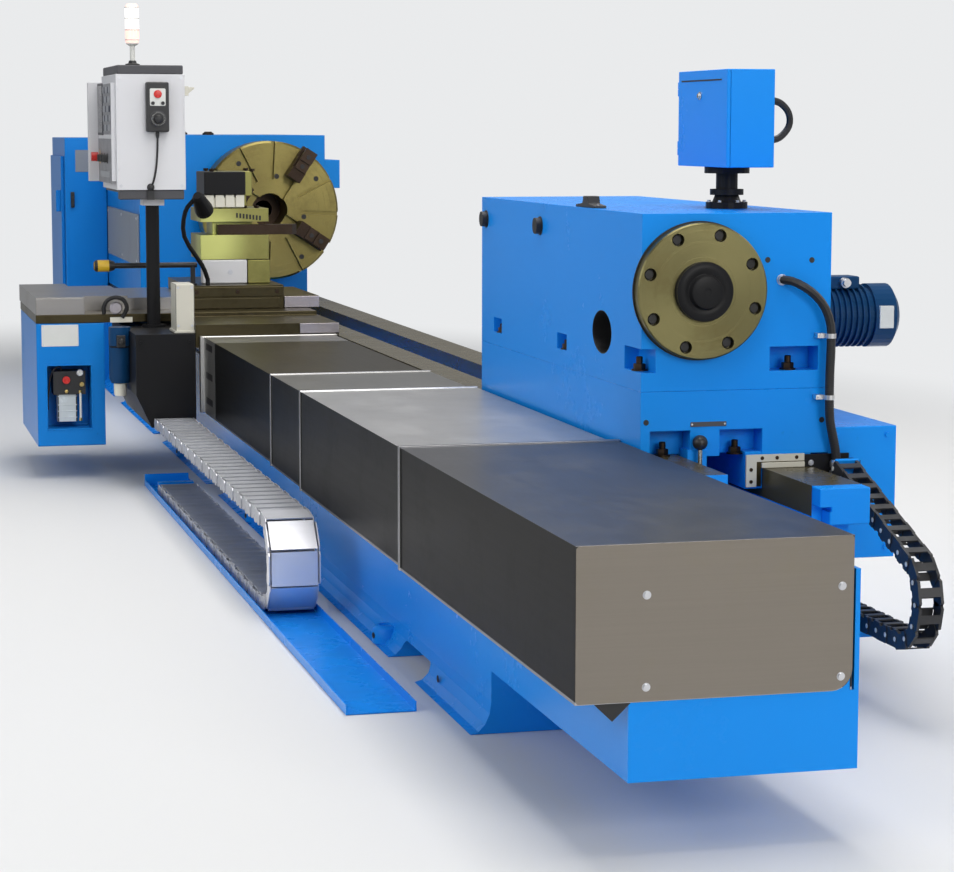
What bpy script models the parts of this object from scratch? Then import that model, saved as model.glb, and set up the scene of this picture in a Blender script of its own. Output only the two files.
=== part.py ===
"""Heavy CNC turning lathe with telescopic way covers, tailstock and two cable chains.

Metres, +Z up. +X runs from the headstock to the tailstock end, -Y is the operator's side.
The origin lies on the floor below the spindle nose.
"""
import math

import bmesh
import bpy
from mathutils import Matrix, Vector

GAP = 0.0003  # between faces that touch

# Spindle line
AXIS_Y = 0.52
AXIS_Z = 1.19

# Bed casting
BED_FAR_X = -1.82
BED_NEAR_X = 8.07
BED_FRONT_Y = -0.208
BED_REAR_Y = 0.84
FOOT_FLARE = 0.06
REAR_FLARE = 0.043
FOOT_HEIGHT = 0.09
SHOULDER_Z = 0.56
CHANNEL_Z = 0.48
FRONT_WAY_TOP = 0.66
FRONT_WAY_OUTER_Y = -0.19
FRONT_WAY_INNER_Y = 0.15
WAY_WIDTH = 0.12
SIDE_LIP = 0.015
TROUGH_WIDTH = 0.058
TROUGH_Z = 0.33
REAR_WAY_TOP = 0.70
REAR_WAY_INNER_Y = 0.355
OUTER_WAY_TOP = 0.66
OUTER_WAY_Y = 0.728
OUTER_WAY_WIDTH = 0.152
ARCH_LENGTH = 0.37
ARCH_HEIGHT = 0.055
ARCH_CORNER = 0.03
ARCH_PITCH = 2.00
ARCH_NEAR_X = 7.20

# Cantilevered end of the bed
EXT_CLEARANCE = 0.0009
EXT_BOTTOM = 0.176
EXT_WALL = 0.012
EXT_FILL = (0.03, 0.42)

# End stop at the rear way
STOP_HEIGHT = 0.105
STOP_THICKNESS = 0.06

# Telescopic way covers
COVER_HALF_WIDTH = 0.336
COVER_TOP = 0.73
COVER_BOTTOM = 0.365
COVER_STEP_Y = 0.011
COVER_STEP_Z = 0.006
SHEET = 0.003
COVER_FAR_X = (7.48, 5.80, 5.11, 3.20)
COVER_LENGTH = (1.82, 2.10, 1.60, 2.56)
LIP_WIDTH = 0.022
LIP_HEIGHT = 0.004
PLATE_CORNER = 0.05

# Headstock
HEAD_NEAR_X = -0.05
HEAD_LEFT_Y = -0.20
HEAD_RIGHT_Y = 0.90
HEAD_TOP = 1.622
HEAD_STEP_Y = 0.28
HEAD_WAIST_Y = 0.79
HEAD_WAIST_Z = 0.95
SIDE_BLOCK = (0.40, 0.09, 0.166)
SIDE_BLOCK_Z = 1.31
PANEL_LENGTH = 1.62
PANEL_BOTTOM = 0.86
PANEL_TOP = 1.16
PANEL_THICKNESS = 0.012
BEARING_OUTER_R = 0.17
BEARING_LENGTH = 0.12

# Spindle, chuck and jaws
SPINDLE_R = 0.11
SPINDLE_BORE_R = 0.052
NOSE_R = 0.16
NOSE_LENGTH = 0.05
SPINDLE_TAIL = 0.24
CHUCK_R = 0.40
CHUCK_FRONT_X = 0.25
CHUCK_BORE_R = 0.10
SLOT_WIDTH = 0.062
SLOT_DEPTH = 0.05
JAW_LENGTH = 0.20
JAW_WIDTH = 0.085
JAW_HEIGHT = 0.12
JAW_INNER_R = (0.215, 0.16, 0.17, 0.17)
JAW_ANGLE = 57.0
T_SLOT_WIDTH = 0.022
T_SLOT_DEPTH = 0.03

# Drive cabinet behind the headstock
CABINET_LENGTH = 0.93
CABINET_LEFT_Y = -0.47
CABINET_TOP = 1.60
CABINET_WALL = 0.02
DOOR_MARGIN = 0.08
DOOR_BOTTOM = 0.12
DOOR_THICKNESS = 0.02
MOTOR_Y = 0.30
MOTOR_Z = 0.40
MOTOR_R = 0.17
MOTOR_SPACE = 0.13
SPINDLE_PULLEY_R = 0.20
MOTOR_PULLEY_R = 0.11
PULLEY_WIDTH = 0.10
BELT_THICKNESS = 0.012

# Carriage
SADDLE_FAR_X = 1.60
SADDLE_TOP = 0.765
SADDLE_HALF = 0.335
WING_FAR_X = 1.70
WING_NEAR_X = 2.70
WING_END_Y = -1.02
WING_BOTTOM = 0.745
WING_TOP = 0.785
APRON_FAR_X = 2.20
APRON_DEPTH = 0.275
APRON_CHAMFER = (0.07, 0.15)
APRON_BOTTOM = 0.295
APRON_TOP = 0.725
FEED_SERVO_R = 0.05
FEED_SERVO_Z = (0.48, 0.74)
FEED_SERVO_X = 2.92
CABLE_BOX = (0.17, 0.085, 0.225)
DRIVE_BOX_INNER_Y = -0.70
DRIVE_BOX_BOTTOM = 0.16
RECESS_Y = (-0.972, -0.765)
RECESS_Z = (0.243, 0.544)
RECESS_DEPTH = 0.15
FIXED_COVER_Y = -0.79
MIDDLE_COVER_Y = (-0.93, -0.56)
MOVING_COVER_Y = -0.71
SLIDE_COVER_NEAR_X = 2.45
SLIDE_COVER_TOP = 0.867
SLIDE_COVER_STEP = 0.012
SLIDE_COVER_SHEET = 0.004

# Cross slide and tool post
CROSS_FAR_X = 1.74
CROSS_NEAR_X = 2.50
CROSS_LEFT_Y = -0.27
CROSS_RIGHT_Y = 0.20
CROSS_TOP = 0.90
CROSS_TAIL_Y = 0.38
CROSS_TAIL_TOP = 0.843
PIPE_ARM_LENGTH = 0.48
POST_X = 2.20
POST_Y = -0.02
POST_BASE_HALF = 0.11
POST_BASE_TOP = 1.02
HEAD_HALF = 0.17
HEAD_CORE_HALF = 0.10
HEAD_PLATE_TOP = 1.14
HEAD_SLOT_TOP = 1.205
HEAD_BODY_TOP = 1.27
HEAD_NECK_HALF = 0.075
HEAD_NECK_TOP = 1.33
HEAD_CAP_TOP = 1.45
TOOL_SIZE = 0.05
TOOL_LENGTH = 0.40

# Pendant control
PENDANT_X = 2.745
PENDANT_Y = -0.47
PENDANT_R = 0.032
PENDANT_TOP = 1.30
CONSOLE_FAR_X = 2.28
CONSOLE_NEAR_X = 2.90
CONSOLE_FRONT_Y = -0.65
CONSOLE_BACK_Y = -0.33
CONSOLE_BOTTOM = 1.376
CONSOLE_TOP = 1.91
CHEEK_DEPTH = 0.07
CHEEK_WIDTH = 0.03
BUTTON_R = 0.022
BUTTON_CLEARANCE = 0.012

# Tailstock
TAIL_FAR_X = 5.82
TAIL_LENGTH = 1.86
TAIL_LEFT_Y = 0.345
TAIL_WIDTH = 0.59
TAIL_SPLIT_Z = 0.895
TAIL_FOOT_TOP = 0.71
TAIL_GUIDE = (0.055, 0.598)
TAIL_TOP = 1.416
QUILL_R = 0.09
QUILL_LENGTH = 1.45
QUILL_OUT = 0.12
QUILL_TRAVEL = 0.30
FLANGE_R = 0.20
FLANGE_THICKNESS = 0.04
FLANGE_PCD_R = 0.17
FLANGE_HOLES = 8
FLANGE_HOLE_R = 0.019
HUB_R = 0.087
LEVER_Z = 0.655
LEVER_LENGTH = 0.09
LUG_PROUD = 0.004
KNOB_R = 0.022
MAST_BACK = 0.43
MAST_Y = 0.76
MAST_R = 0.045
BOX_BACK = 0.66
BOX_LENGTH = 0.45
BOX_DEPTH = 0.14
BOX_BOTTOM = 1.545
BOX_TOP = 1.84
BOX_WALL = 0.006
FEED_MOTOR_BACK = 0.38
FEED_MOTOR_Z = 1.08
FEED_MOTOR_R = 0.10
FEED_MOTOR_LENGTH = 0.36
CHAIN_BOX_LENGTH = 0.53
CHAIN_BOX_DEPTH = 0.22
CHAIN_BOX_Z = (0.375, 0.775)
CONDUIT_END_Z = 0.61

# Floor tray and cable chains
TRAY_X = (3.00, 7.76)
TRAY_Y = (-0.555, -0.348)
TRAY_SHEET = 0.004
TRAY_WALL = 0.03
STEEL_PITCH = 0.10
STEEL_HEIGHT = 0.05
STEEL_Y = (-0.535, -0.355)
STEEL_TOP = 0.345
STEEL_END_X = 3.30
STEEL_BEND_X = 6.175
BLACK_PITCH = 0.0535
BLACK_HEIGHT = 0.052
BLACK_Y = (0.92, 0.995)
BLACK_LOW_Z = 0.241
BLACK_END_X = 6.20
BLACK_BEND_AHEAD = 0.555
BLACK_RADIUS = 0.12
BLACK_LEAN = 70.0
BLACK_RUN = 0.55

COLORS = {
    "blue": ((0.02, 0.28, 0.78), 0.35, 0.0),
    "steel": ((0.45, 0.44, 0.42), 0.35, 0.9),
    "iron": ((0.22, 0.20, 0.13), 0.4, 0.8),
    "chuck": ((0.36, 0.32, 0.13), 0.35, 0.9),
    "black": ((0.02, 0.02, 0.022), 0.5, 0.0),
    "white": ((0.75, 0.75, 0.76), 0.4, 0.0),
    "grey": ((0.35, 0.36, 0.37), 0.5, 0.0),
    "red": ((0.65, 0.03, 0.02), 0.4, 0.0),
    "navy": ((0.01, 0.05, 0.16), 0.4, 0.0),
    "zinc": ((0.55, 0.56, 0.58), 0.35, 0.9),
}


def clear_scene():
    for old in list(bpy.data.objects):
        bpy.data.objects.remove(old, do_unlink=True)


def material(name):
    found = bpy.data.materials.get(name)
    if found:
        return found
    made = bpy.data.materials.new(name)
    made.use_nodes = True
    color, roughness, metallic = COLORS[name.split("_")[0]]
    shader = made.node_tree.nodes["Principled BSDF"]
    shader.inputs["Base Color"].default_value = (*color, 1.0)
    shader.inputs["Roughness"].default_value = roughness
    shader.inputs["Metallic"].default_value = metallic
    return made


def add_object(name, mesh_data, finish, origin=(0, 0, 0), smooth=False):
    """Turn a bmesh in world coordinates into an object whose origin is the given point."""
    origin = Vector(origin)
    bmesh.ops.translate(mesh_data, verts=mesh_data.verts, vec=-origin)
    bmesh.ops.recalc_face_normals(mesh_data, faces=mesh_data.faces)
    mesh = bpy.data.meshes.new(name)
    mesh_data.to_mesh(mesh)
    mesh_data.free()
    if smooth:
        mesh.shade_smooth()
        mesh.set_sharp_from_angle(angle=math.radians(35))
    made = bpy.data.objects.new(name, mesh)
    made.location = origin
    made.data.materials.append(material(f"{finish}_{name}"))
    bpy.context.scene.collection.objects.link(made)
    return made


def box(name, low, high, finish, origin=(0, 0, 0)):
    data = bmesh.new()
    bmesh.ops.create_cube(data, size=1.0)
    low, high = Vector(low), Vector(high)
    size = high - low
    for vert in data.verts:
        vert.co = Vector((vert.co[i] * size[i] + (low[i] + high[i]) / 2 for i in range(3)))
    return add_object(name, data, finish, origin)


def loft(name, rings, finish, origin=(0, 0, 0), smooth=False, closed=False):
    """Skin a list of rings, each a list of world points, and cap both ends."""
    data = bmesh.new()
    loops = [[data.verts.new(point) for point in ring] for ring in rings]
    count = len(loops[0])
    pairs = list(zip(loops, loops[1:]))
    if closed:
        pairs.append((loops[-1], loops[0]))
    for first, second in pairs:
        for i in range(count):
            j = (i + 1) % count
            data.faces.new((first[i], first[j], second[j], second[i]))
    if not closed:
        data.faces.new(list(reversed(loops[0])))
        data.faces.new(loops[-1])
    bmesh.ops.remove_doubles(data, verts=data.verts, dist=0.00001)
    return add_object(name, data, finish, origin, smooth)


def along_x(outline, x):
    return [(x, y, z) for y, z in outline]


def extrude_x(name, outline, x0, x1, finish, origin=(0, 0, 0)):
    return loft(name, [along_x(outline, x0), along_x(outline, x1)], finish, origin)


def extrude_y(name, outline, y0, y1, finish, origin=(0, 0, 0)):
    rings = [[(x, y, z) for x, z in outline] for y in (y0, y1)]
    return loft(name, rings, finish, origin)


def circle(center, axis, radius, sides):
    """Points of a circle around the named axis through the centre."""
    turn = {"X": (1, 2), "Y": (2, 0), "Z": (0, 1)}[axis]
    points = []
    for i in range(sides):
        angle = 2 * math.pi * i / sides
        point = list(center)
        point[turn[0]] += radius * math.cos(angle)
        point[turn[1]] += radius * math.sin(angle)
        points.append(tuple(point))
    return points


def turned(name, profile, center, axis, finish, sides=32, origin=None, hollow=False):
    """Turn a profile of (distance along the axis, radius) pairs; hollow closes it on itself."""
    index = "XYZ".index(axis)
    rings = []
    for along, radius in profile:
        at = list(center)
        at[index] += along
        rings.append(circle(at, axis, radius, sides))
    return loft(name, rings, finish, origin or center, True, hollow)


def tube(name, route, radius, finish, sides=8):
    """A plain cord along chosen points, as a curve with filled caps."""
    curve = bpy.data.curves.new(name, "CURVE")
    curve.dimensions = "3D"
    curve.bevel_depth = radius
    curve.bevel_resolution = sides // 4
    curve.use_fill_caps = True
    spline = curve.splines.new("POLY")
    spline.points.add(len(route) - 1)
    for point, place in zip(spline.points, route):
        point.co = (*place, 1.0)
    made = bpy.data.objects.new(name, curve)
    made.data.materials.append(material(f"{finish}_{name}"))
    bpy.context.scene.collection.objects.link(made)
    return made


def smooth_route(points, steps=5):
    """Points on a smooth curve through the chosen ones; the first and last spans stay straight."""
    start, end = points[0], points[-1]
    places = [Vector(p) for p in points[1:-1]]
    places = [2 * places[0] - places[1]] + places + [2 * places[-1] - places[-2]]
    route = []
    for a, b, c, d in zip(places, places[1:], places[2:], places[3:]):
        for step in range(steps):
            t = step / steps
            route.append(0.5 * (2 * b + (c - a) * t + (2 * a - 5 * b + 4 * c - d) * t * t
                                + (3 * b - a - 3 * c + d) * t ** 3))
    route.append(places[-2])
    return [start, *(tuple(p) for p in route), end]


def combine(target, tool, operation):
    """Cut or join with a hidden tool object."""
    tool.hide_render = True
    tool.display_type = "WIRE"
    modifier = target.modifiers.new(operation.lower(), "BOOLEAN")
    modifier.operation = operation
    modifier.object = tool
    modifier.solver = "EXACT"
    return target


def cut(target, tool):
    return combine(target, tool, "DIFFERENCE")


def fuse(target, tool):
    return combine(target, tool, "UNION")


def bore(radius, sides):
    """Radius of a round hole whose flats clear a shaft that turns in it."""
    return (radius + GAP) / math.cos(math.pi / sides)


def front_ways(right_wall_y):
    """Upper outline of the front ways, from the cover trough to the operator's side."""
    inner = FRONT_WAY_INNER_Y + WAY_WIDTH
    trough_y = inner + SIDE_LIP
    outer = FRONT_WAY_OUTER_Y + WAY_WIDTH
    return [
        (right_wall_y, TROUGH_Z), (trough_y, TROUGH_Z), (trough_y, SHOULDER_Z), (inner, SHOULDER_Z),
        (inner, FRONT_WAY_TOP), (FRONT_WAY_INNER_Y, FRONT_WAY_TOP), (FRONT_WAY_INNER_Y, CHANNEL_Z),
        (outer, CHANNEL_Z), (outer, FRONT_WAY_TOP), (FRONT_WAY_OUTER_Y, FRONT_WAY_TOP),
        (FRONT_WAY_OUTER_Y, SHOULDER_Z), (BED_FRONT_Y, SHOULDER_Z),
    ]


TROUGH_WALL_Y = FRONT_WAY_INNER_Y + WAY_WIDTH + SIDE_LIP + TROUGH_WIDTH


def foot_curve(y, flare, side):
    """Points of a hollow curve from the upright face down to the toe of the foot."""
    points = []
    for step in range(5):
        angle = math.radians(90 * step / 4)
        points.append((y + side * flare * (1 - math.cos(angle)), FOOT_HEIGHT * (1 - math.sin(angle))))
    return points


def arch_outline(x):
    """A flat arch with round corners under the bed, in X and Z."""
    half, corner = ARCH_LENGTH / 2, ARCH_CORNER
    points = [(x + half, -0.1)]
    for side in (1, -1):
        turn = []
        for step in range(4):
            angle = math.radians(90 * step / 3)
            turn.append((x + side * (half - corner * (1 - math.cos(angle))),
                         ARCH_HEIGHT - corner * (1 - math.sin(angle))))
        points += turn if side > 0 else turn[::-1]
    return points + [(x - half, -0.1)]


def make_bed():
    outer_way_end = OUTER_WAY_Y + OUTER_WAY_WIDTH
    inner_way_end = REAR_WAY_INNER_Y + WAY_WIDTH
    outline = [
        *reversed(foot_curve(BED_REAR_Y, REAR_FLARE, 1)),
        (BED_REAR_Y, SHOULDER_Z), (outer_way_end, SHOULDER_Z + 0.03), (outer_way_end, OUTER_WAY_TOP),
        (OUTER_WAY_Y, OUTER_WAY_TOP), (OUTER_WAY_Y, CHANNEL_Z), (inner_way_end, CHANNEL_Z),
        (inner_way_end, REAR_WAY_TOP), (TROUGH_WALL_Y, REAR_WAY_TOP),
        *front_ways(TROUGH_WALL_Y), *foot_curve(BED_FRONT_Y, FOOT_FLARE, -1),
    ]
    bed = extrude_x("bed", outline, BED_FAR_X, BED_NEAR_X, "blue")
    arches = int((ARCH_NEAR_X - BED_FAR_X) // ARCH_PITCH) + 1
    for i in range(arches):
        arch = arch_outline(ARCH_NEAR_X - i * ARCH_PITCH)
        y0, y1 = BED_FRONT_Y - FOOT_FLARE - 0.1, BED_REAR_Y + REAR_FLARE + 0.1
        cut(bed, extrude_y(f"arch_{i}", arch, y0, y1, "blue"))
    shelf_x = (BLACK_END_X - 0.1, BED_NEAR_X - 0.1)
    shelf_top = BLACK_LOW_Z - BLACK_HEIGHT / 2 - GAP
    fuse(bed, box("chain_shelf", (shelf_x[0], BED_REAR_Y - 0.03, shelf_top - 0.02),
                  (shelf_x[1], BLACK_Y[1], shelf_top), "blue"))
    fuse(bed, box("shelf_stop", (shelf_x[0] + 0.04, BED_REAR_Y - 0.03, shelf_top - 0.01),
                  (BLACK_END_X - GAP, BLACK_Y[1] - 0.01, shelf_top + BLACK_HEIGHT), "blue"))

    wall = TROUGH_WALL_Y + EXT_WALL
    end = [(BED_FRONT_Y, EXT_BOTTOM), (wall, EXT_BOTTOM), (wall, SHOULDER_Z + 0.09),
           (TROUGH_WALL_Y, SHOULDER_Z + 0.09), *front_ways(TROUGH_WALL_Y)]
    x0 = BED_NEAR_X + GAP
    x1 = COVER_FAR_X[0] + COVER_LENGTH[0] - SHEET - EXT_CLEARANCE
    extension = extrude_x("bed_extension", end, x0, x1, "blue")
    inside = COVER_HALF_WIDTH - SHEET - 2 * GAP
    fuse(extension, box("trough_end", (x1 - EXT_FILL[0], TROUGH_WALL_Y - TROUGH_WIDTH - 0.01, TROUGH_Z - 0.02),
                        (x1, inside, EXT_FILL[1]), "blue"))
    fuse(extension, box("trough_floor", (x1 - EXT_FILL[0], inside - 0.01, TROUGH_Z - 0.02),
                        (x1, wall - 0.002, COVER_BOTTOM - 0.001), "blue"))

    y0, y1 = OUTER_WAY_Y, outer_way_end
    z1 = OUTER_WAY_TOP
    z0 = z1 - STOP_HEIGHT
    step, notch = z1 - 0.055, 0.012
    side = [(y0 + 0.03, z0), (y1, z0), (y1, z1), (y0, z1), (y0, step), (y0 + 0.035, step),
            (y0 + 0.035, step - notch), (y0 + 0.03, step - notch)]
    extrude_x("end_stop_block", side, x0, x0 + STOP_THICKNESS, "blue")


def cover_outline(index, proud):
    """The U of one cover section; proud is how far its outside stands out at this point."""
    half = COVER_HALF_WIDTH - index * COVER_STEP_Y
    top = COVER_TOP - index * COVER_STEP_Z
    rise = min(proud, COVER_STEP_Z - SHEET - GAP) if proud > LIP_HEIGHT else proud
    outer, inner = half + proud, half - SHEET
    return [(-outer, COVER_BOTTOM), (-inner, COVER_BOTTOM), (-inner, top - SHEET), (inner, top - SHEET),
            (inner, COVER_BOTTOM), (outer, COVER_BOTTOM), (outer, top + rise), (-outer, top + rise)]


def make_covers():
    slide_gap = COVER_STEP_Y - SHEET - GAP
    for index, (far_x, length) in enumerate(zip(COVER_FAR_X, COVER_LENGTH)):
        near_x = far_x + length
        last = index == len(COVER_FAR_X) - 1
        start = far_x + (GAP if last else 0)
        lip_end = start + LIP_WIDTH * (2 if last else 1)
        lip = LIP_HEIGHT * (4 if last else 1)
        rings = [along_x(cover_outline(index, lip), start), along_x(cover_outline(index, lip), lip_end),
                 along_x(cover_outline(index, 0), lip_end + 0.002)]
        if index:
            foot = near_x - LIP_WIDTH
            shoe = cover_outline(index, slide_gap)
            rings += [along_x(cover_outline(index, 0), foot - 0.002), along_x(shoe, foot), along_x(shoe, near_x)]
        else:
            rings.append(along_x(cover_outline(index, 0), near_x - SHEET / 2))
        section = loft(f"way_cover_{index + 1}", rings, "steel", (start, 0, COVER_TOP))
        if index == 0:
            half, low, top = COVER_HALF_WIDTH + 0.0005, COVER_BOTTOM - 0.0005, COVER_TOP + 0.0005
            corner = [(half - PLATE_CORNER * (1 - math.sin(a)), low + PLATE_CORNER * (1 - math.cos(a)))
                      for a in (math.radians(15 * k) for k in range(7))]
            plate = [(-half, low), *corner, (half, top), (-half, top)]
            fuse(section, extrude_x("end_plate", plate, near_x - SHEET, near_x, "steel"))


def make_headstock():
    base = FRONT_WAY_TOP + GAP
    step = REAR_WAY_TOP + GAP
    outline = [
        (HEAD_LEFT_Y, base), (HEAD_STEP_Y, base), (HEAD_STEP_Y, step), (OUTER_WAY_Y - GAP, step),
        (OUTER_WAY_Y - GAP, base), (HEAD_WAIST_Y, base), (HEAD_WAIST_Y, HEAD_WAIST_Z), (HEAD_RIGHT_Y, HEAD_WAIST_Z), (HEAD_RIGHT_Y, HEAD_TOP),
        (HEAD_LEFT_Y, HEAD_TOP),
    ]
    body = extrude_x("headstock_body", outline, BED_FAR_X, HEAD_NEAR_X, "blue")
    x, y, z = SIDE_BLOCK
    fuse(body, box("side_block", (HEAD_NEAR_X - x, HEAD_RIGHT_Y - 0.02, SIDE_BLOCK_Z),
                   (HEAD_NEAR_X - 0.002, HEAD_RIGHT_Y + y, SIDE_BLOCK_Z + z), "blue"))
    through = [(-0.1, BEARING_OUTER_R), (HEAD_NEAR_X - BED_FAR_X + 0.1, BEARING_OUTER_R)]
    cut(body, turned("spindle_bore", through, (BED_FAR_X, AXIS_Y, AXIS_Z), "X", "blue", 40))
    near = HEAD_NEAR_X - 0.03
    box("headstock_side_panel", (near - PANEL_LENGTH, HEAD_LEFT_Y - GAP - PANEL_THICKNESS, PANEL_BOTTOM),
        (near, HEAD_LEFT_Y - GAP, PANEL_TOP), "grey")
    inner, outer = bore(SPINDLE_R, 40), BEARING_OUTER_R + 0.01
    ring = [(0, inner), (0, outer), (BEARING_LENGTH, outer), (BEARING_LENGTH, inner)]
    for start in (HEAD_NEAR_X - BEARING_LENGTH - 0.02, BED_FAR_X + 0.05):
        fuse(body, turned("bearing", ring, (start, AXIS_Y, AXIS_Z), "X", "zinc", 40, hollow=True))


def make_spindle():
    tail = BED_FAR_X - SPINDLE_TAIL
    profile = [(tail, SPINDLE_BORE_R), (tail, SPINDLE_R), (-NOSE_LENGTH + 0.01, SPINDLE_R),
               (-NOSE_LENGTH + 0.01, NOSE_R), (0, NOSE_R), (0, SPINDLE_BORE_R)]
    turned("spindle", profile, (0, AXIS_Y, AXIS_Z), "X", "zinc", 40, hollow=True)
    back = CHUCK_BORE_R
    body = turned("chuck_body", [(GAP, back), (GAP, CHUCK_R - 0.05), (0.05, CHUCK_R - 0.01), (0.06, CHUCK_R),
                                 (CHUCK_FRONT_X - 0.012, CHUCK_R), (CHUCK_FRONT_X, CHUCK_R - 0.012),
                                 (CHUCK_FRONT_X, back)],
                  (0, AXIS_Y, AXIS_Z), "X", "chuck", 64, hollow=True)
    for i in range(4):
        turn = Matrix.Rotation(math.radians(JAW_ANGLE + 90 * i), 4, "X")
        center = Matrix.Translation((0, AXIS_Y, AXIS_Z))
        way = box(f"jaw_way_{i}", (CHUCK_FRONT_X - SLOT_DEPTH, CHUCK_BORE_R - 0.03, -SLOT_WIDTH / 2),
                  (CHUCK_FRONT_X + 0.1, CHUCK_R + 0.1, SLOT_WIDTH / 2), "chuck")
        way.data.transform(center @ turn)
        cut(body, way)
        for side in (-30, 30):
            half = T_SLOT_WIDTH / 2
            groove = box(f"groove_{i}_{side}", (CHUCK_FRONT_X - T_SLOT_DEPTH, CHUCK_R * 0.45, -half),
                         (CHUCK_FRONT_X + 0.1, CHUCK_R + 0.1, half), "chuck")
            angle = Matrix.Rotation(math.radians(JAW_ANGLE + 90 * i + side), 4, "X")
            groove.data.transform(center @ angle)
            cut(body, groove)
        make_jaw(i, center @ turn)


def make_jaw(index, place):
    """One stepped jaw: a tongue in the chuck's way and a block in front of the face."""
    inner = JAW_INNER_R[index]
    face = CHUCK_FRONT_X + GAP
    tongue = SLOT_WIDTH / 2 - GAP
    half = JAW_WIDTH / 2
    low, high, top = face + JAW_HEIGHT * 0.4, face + JAW_HEIGHT * 0.7, face + JAW_HEIGHT
    first, second, outer = (inner + JAW_LENGTH * share for share in (0.33, 0.66, 1))
    steps = [(face, inner), (face, outer), (low, outer), (low, second), (high, second), (high, first),
             (top, first), (top, inner)]
    rings = [[(x, y, z) for x, y in steps] for z in (-half, half)]
    jaw = loft(f"chuck_jaw_{index + 1}", rings, "black")
    jaw.data.transform(place)
    key = box(f"jaw_tongue_{index}", (CHUCK_FRONT_X - SLOT_DEPTH + GAP, inner, -tongue),
              (face + 0.01, inner + JAW_LENGTH, tongue), "black")
    key.data.transform(place)
    fuse(jaw, key)


def make_drive():
    x1 = BED_FAR_X - GAP
    x0 = x1 - CABINET_LENGTH
    y0, y1 = CABINET_LEFT_Y, HEAD_RIGHT_Y
    wall = CABINET_WALL
    cabinet = box("drive_cabinet", (x0, y0, 0), (x1, y1, CABINET_TOP), "blue")
    cut(cabinet, box("cabinet_inside", (x0 + wall, y0 + wall, wall),
                     (x1 + 0.1, y1 - wall, CABINET_TOP - wall), "blue"))
    door_x0, door_x1 = x0 + DOOR_MARGIN, x1 - DOOR_MARGIN
    door_z1 = CABINET_TOP - DOOR_BOTTOM
    cut(cabinet, box("door_hole", (door_x0 + 0.02, y0 - 0.1, DOOR_BOTTOM + 0.02),
                     (door_x1 - 0.02, y0 + wall + 0.05, door_z1 - 0.02), "blue"))
    outer = y0 - GAP - DOOR_THICKNESS
    hinge = (door_x0, outer, DOOR_BOTTOM)
    door = box("cabinet_door", hinge, (door_x1, y0 - GAP, door_z1), "blue", hinge)
    grip_x = door_x1 - 0.07
    fuse(door, box("door_grip", (grip_x - 0.02, outer - 0.03, 1.12),
                   (grip_x + 0.02, outer + 0.01, 1.26), "black"))

    pulley_x = BED_FAR_X - SPINDLE_TAIL + 0.02
    hole, rim = bore(SPINDLE_R, 48), SPINDLE_PULLEY_R
    ring = [(0, hole), (0, rim), (PULLEY_WIDTH, rim), (PULLEY_WIDTH, hole)]
    turned("spindle_pulley", ring, (pulley_x, AXIS_Y, AXIS_Z), "X", "iron", 48, hollow=True)
    shaft = 0.03
    hole, rim = bore(shaft, 40), MOTOR_PULLEY_R
    ring = [(0, hole), (0, rim), (PULLEY_WIDTH, rim), (PULLEY_WIDTH, hole)]
    turned("motor_pulley", ring, (pulley_x, MOTOR_Y, MOTOR_Z), "X", "iron", 40, hollow=True)
    motor_x = pulley_x - 0.06
    motor_length = motor_x - x0 - wall - MOTOR_SPACE
    end = pulley_x + PULLEY_WIDTH - motor_x
    profile = [(-motor_length, MOTOR_R - 0.02), (-motor_length + 0.02, MOTOR_R), (-0.03, MOTOR_R),
               (-0.03, MOTOR_R * 0.6), (0, MOTOR_R * 0.6), (0, shaft), (end, shaft)]
    motor = turned("main_motor", profile, (motor_x, MOTOR_Y, MOTOR_Z), "X", "navy", 32)
    fuse(motor, box("motor_foot", (motor_x - motor_length + 0.08, MOTOR_Y - MOTOR_R * 0.9, wall + GAP),
                    (motor_x - 0.1, MOTOR_Y + MOTOR_R * 0.9, MOTOR_Z - MOTOR_R * 0.6), "navy"))
    make_belt(pulley_x + 0.01, PULLEY_WIDTH - 0.02)


def make_belt(x, width):
    """A flat belt round both pulleys: an outline of two arcs and two straight runs."""
    dy, dz = AXIS_Y - MOTOR_Y, AXIS_Z - MOTOR_Z
    distance = math.hypot(dy, dz)
    lean = math.atan2(dz, dy)
    spread = math.acos((SPINDLE_PULLEY_R - MOTOR_PULLEY_R) / distance)
    steps = 20

    def outline(extra):
        points = []
        for center, radius, start, end in (
                ((AXIS_Y, AXIS_Z), SPINDLE_PULLEY_R, lean - (math.pi - spread), lean + (math.pi - spread)),
                ((MOTOR_Y, MOTOR_Z), MOTOR_PULLEY_R, lean + math.pi - spread, lean + math.pi + spread)):
            for i in range(steps + 1):
                angle = start + (end - start) * i / steps
                grow = (radius + extra) / math.cos((end - start) / steps / 2)
                points.append((center[0] + grow * math.cos(angle), center[1] + grow * math.sin(angle)))
        return points

    inner, outer = outline(GAP), outline(GAP + BELT_THICKNESS)
    rings = [along_x(inner, x), along_x(outer, x), along_x(outer, x + width), along_x(inner, x + width)]
    loft("drive_belt", rings, "black", closed=True)


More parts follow.
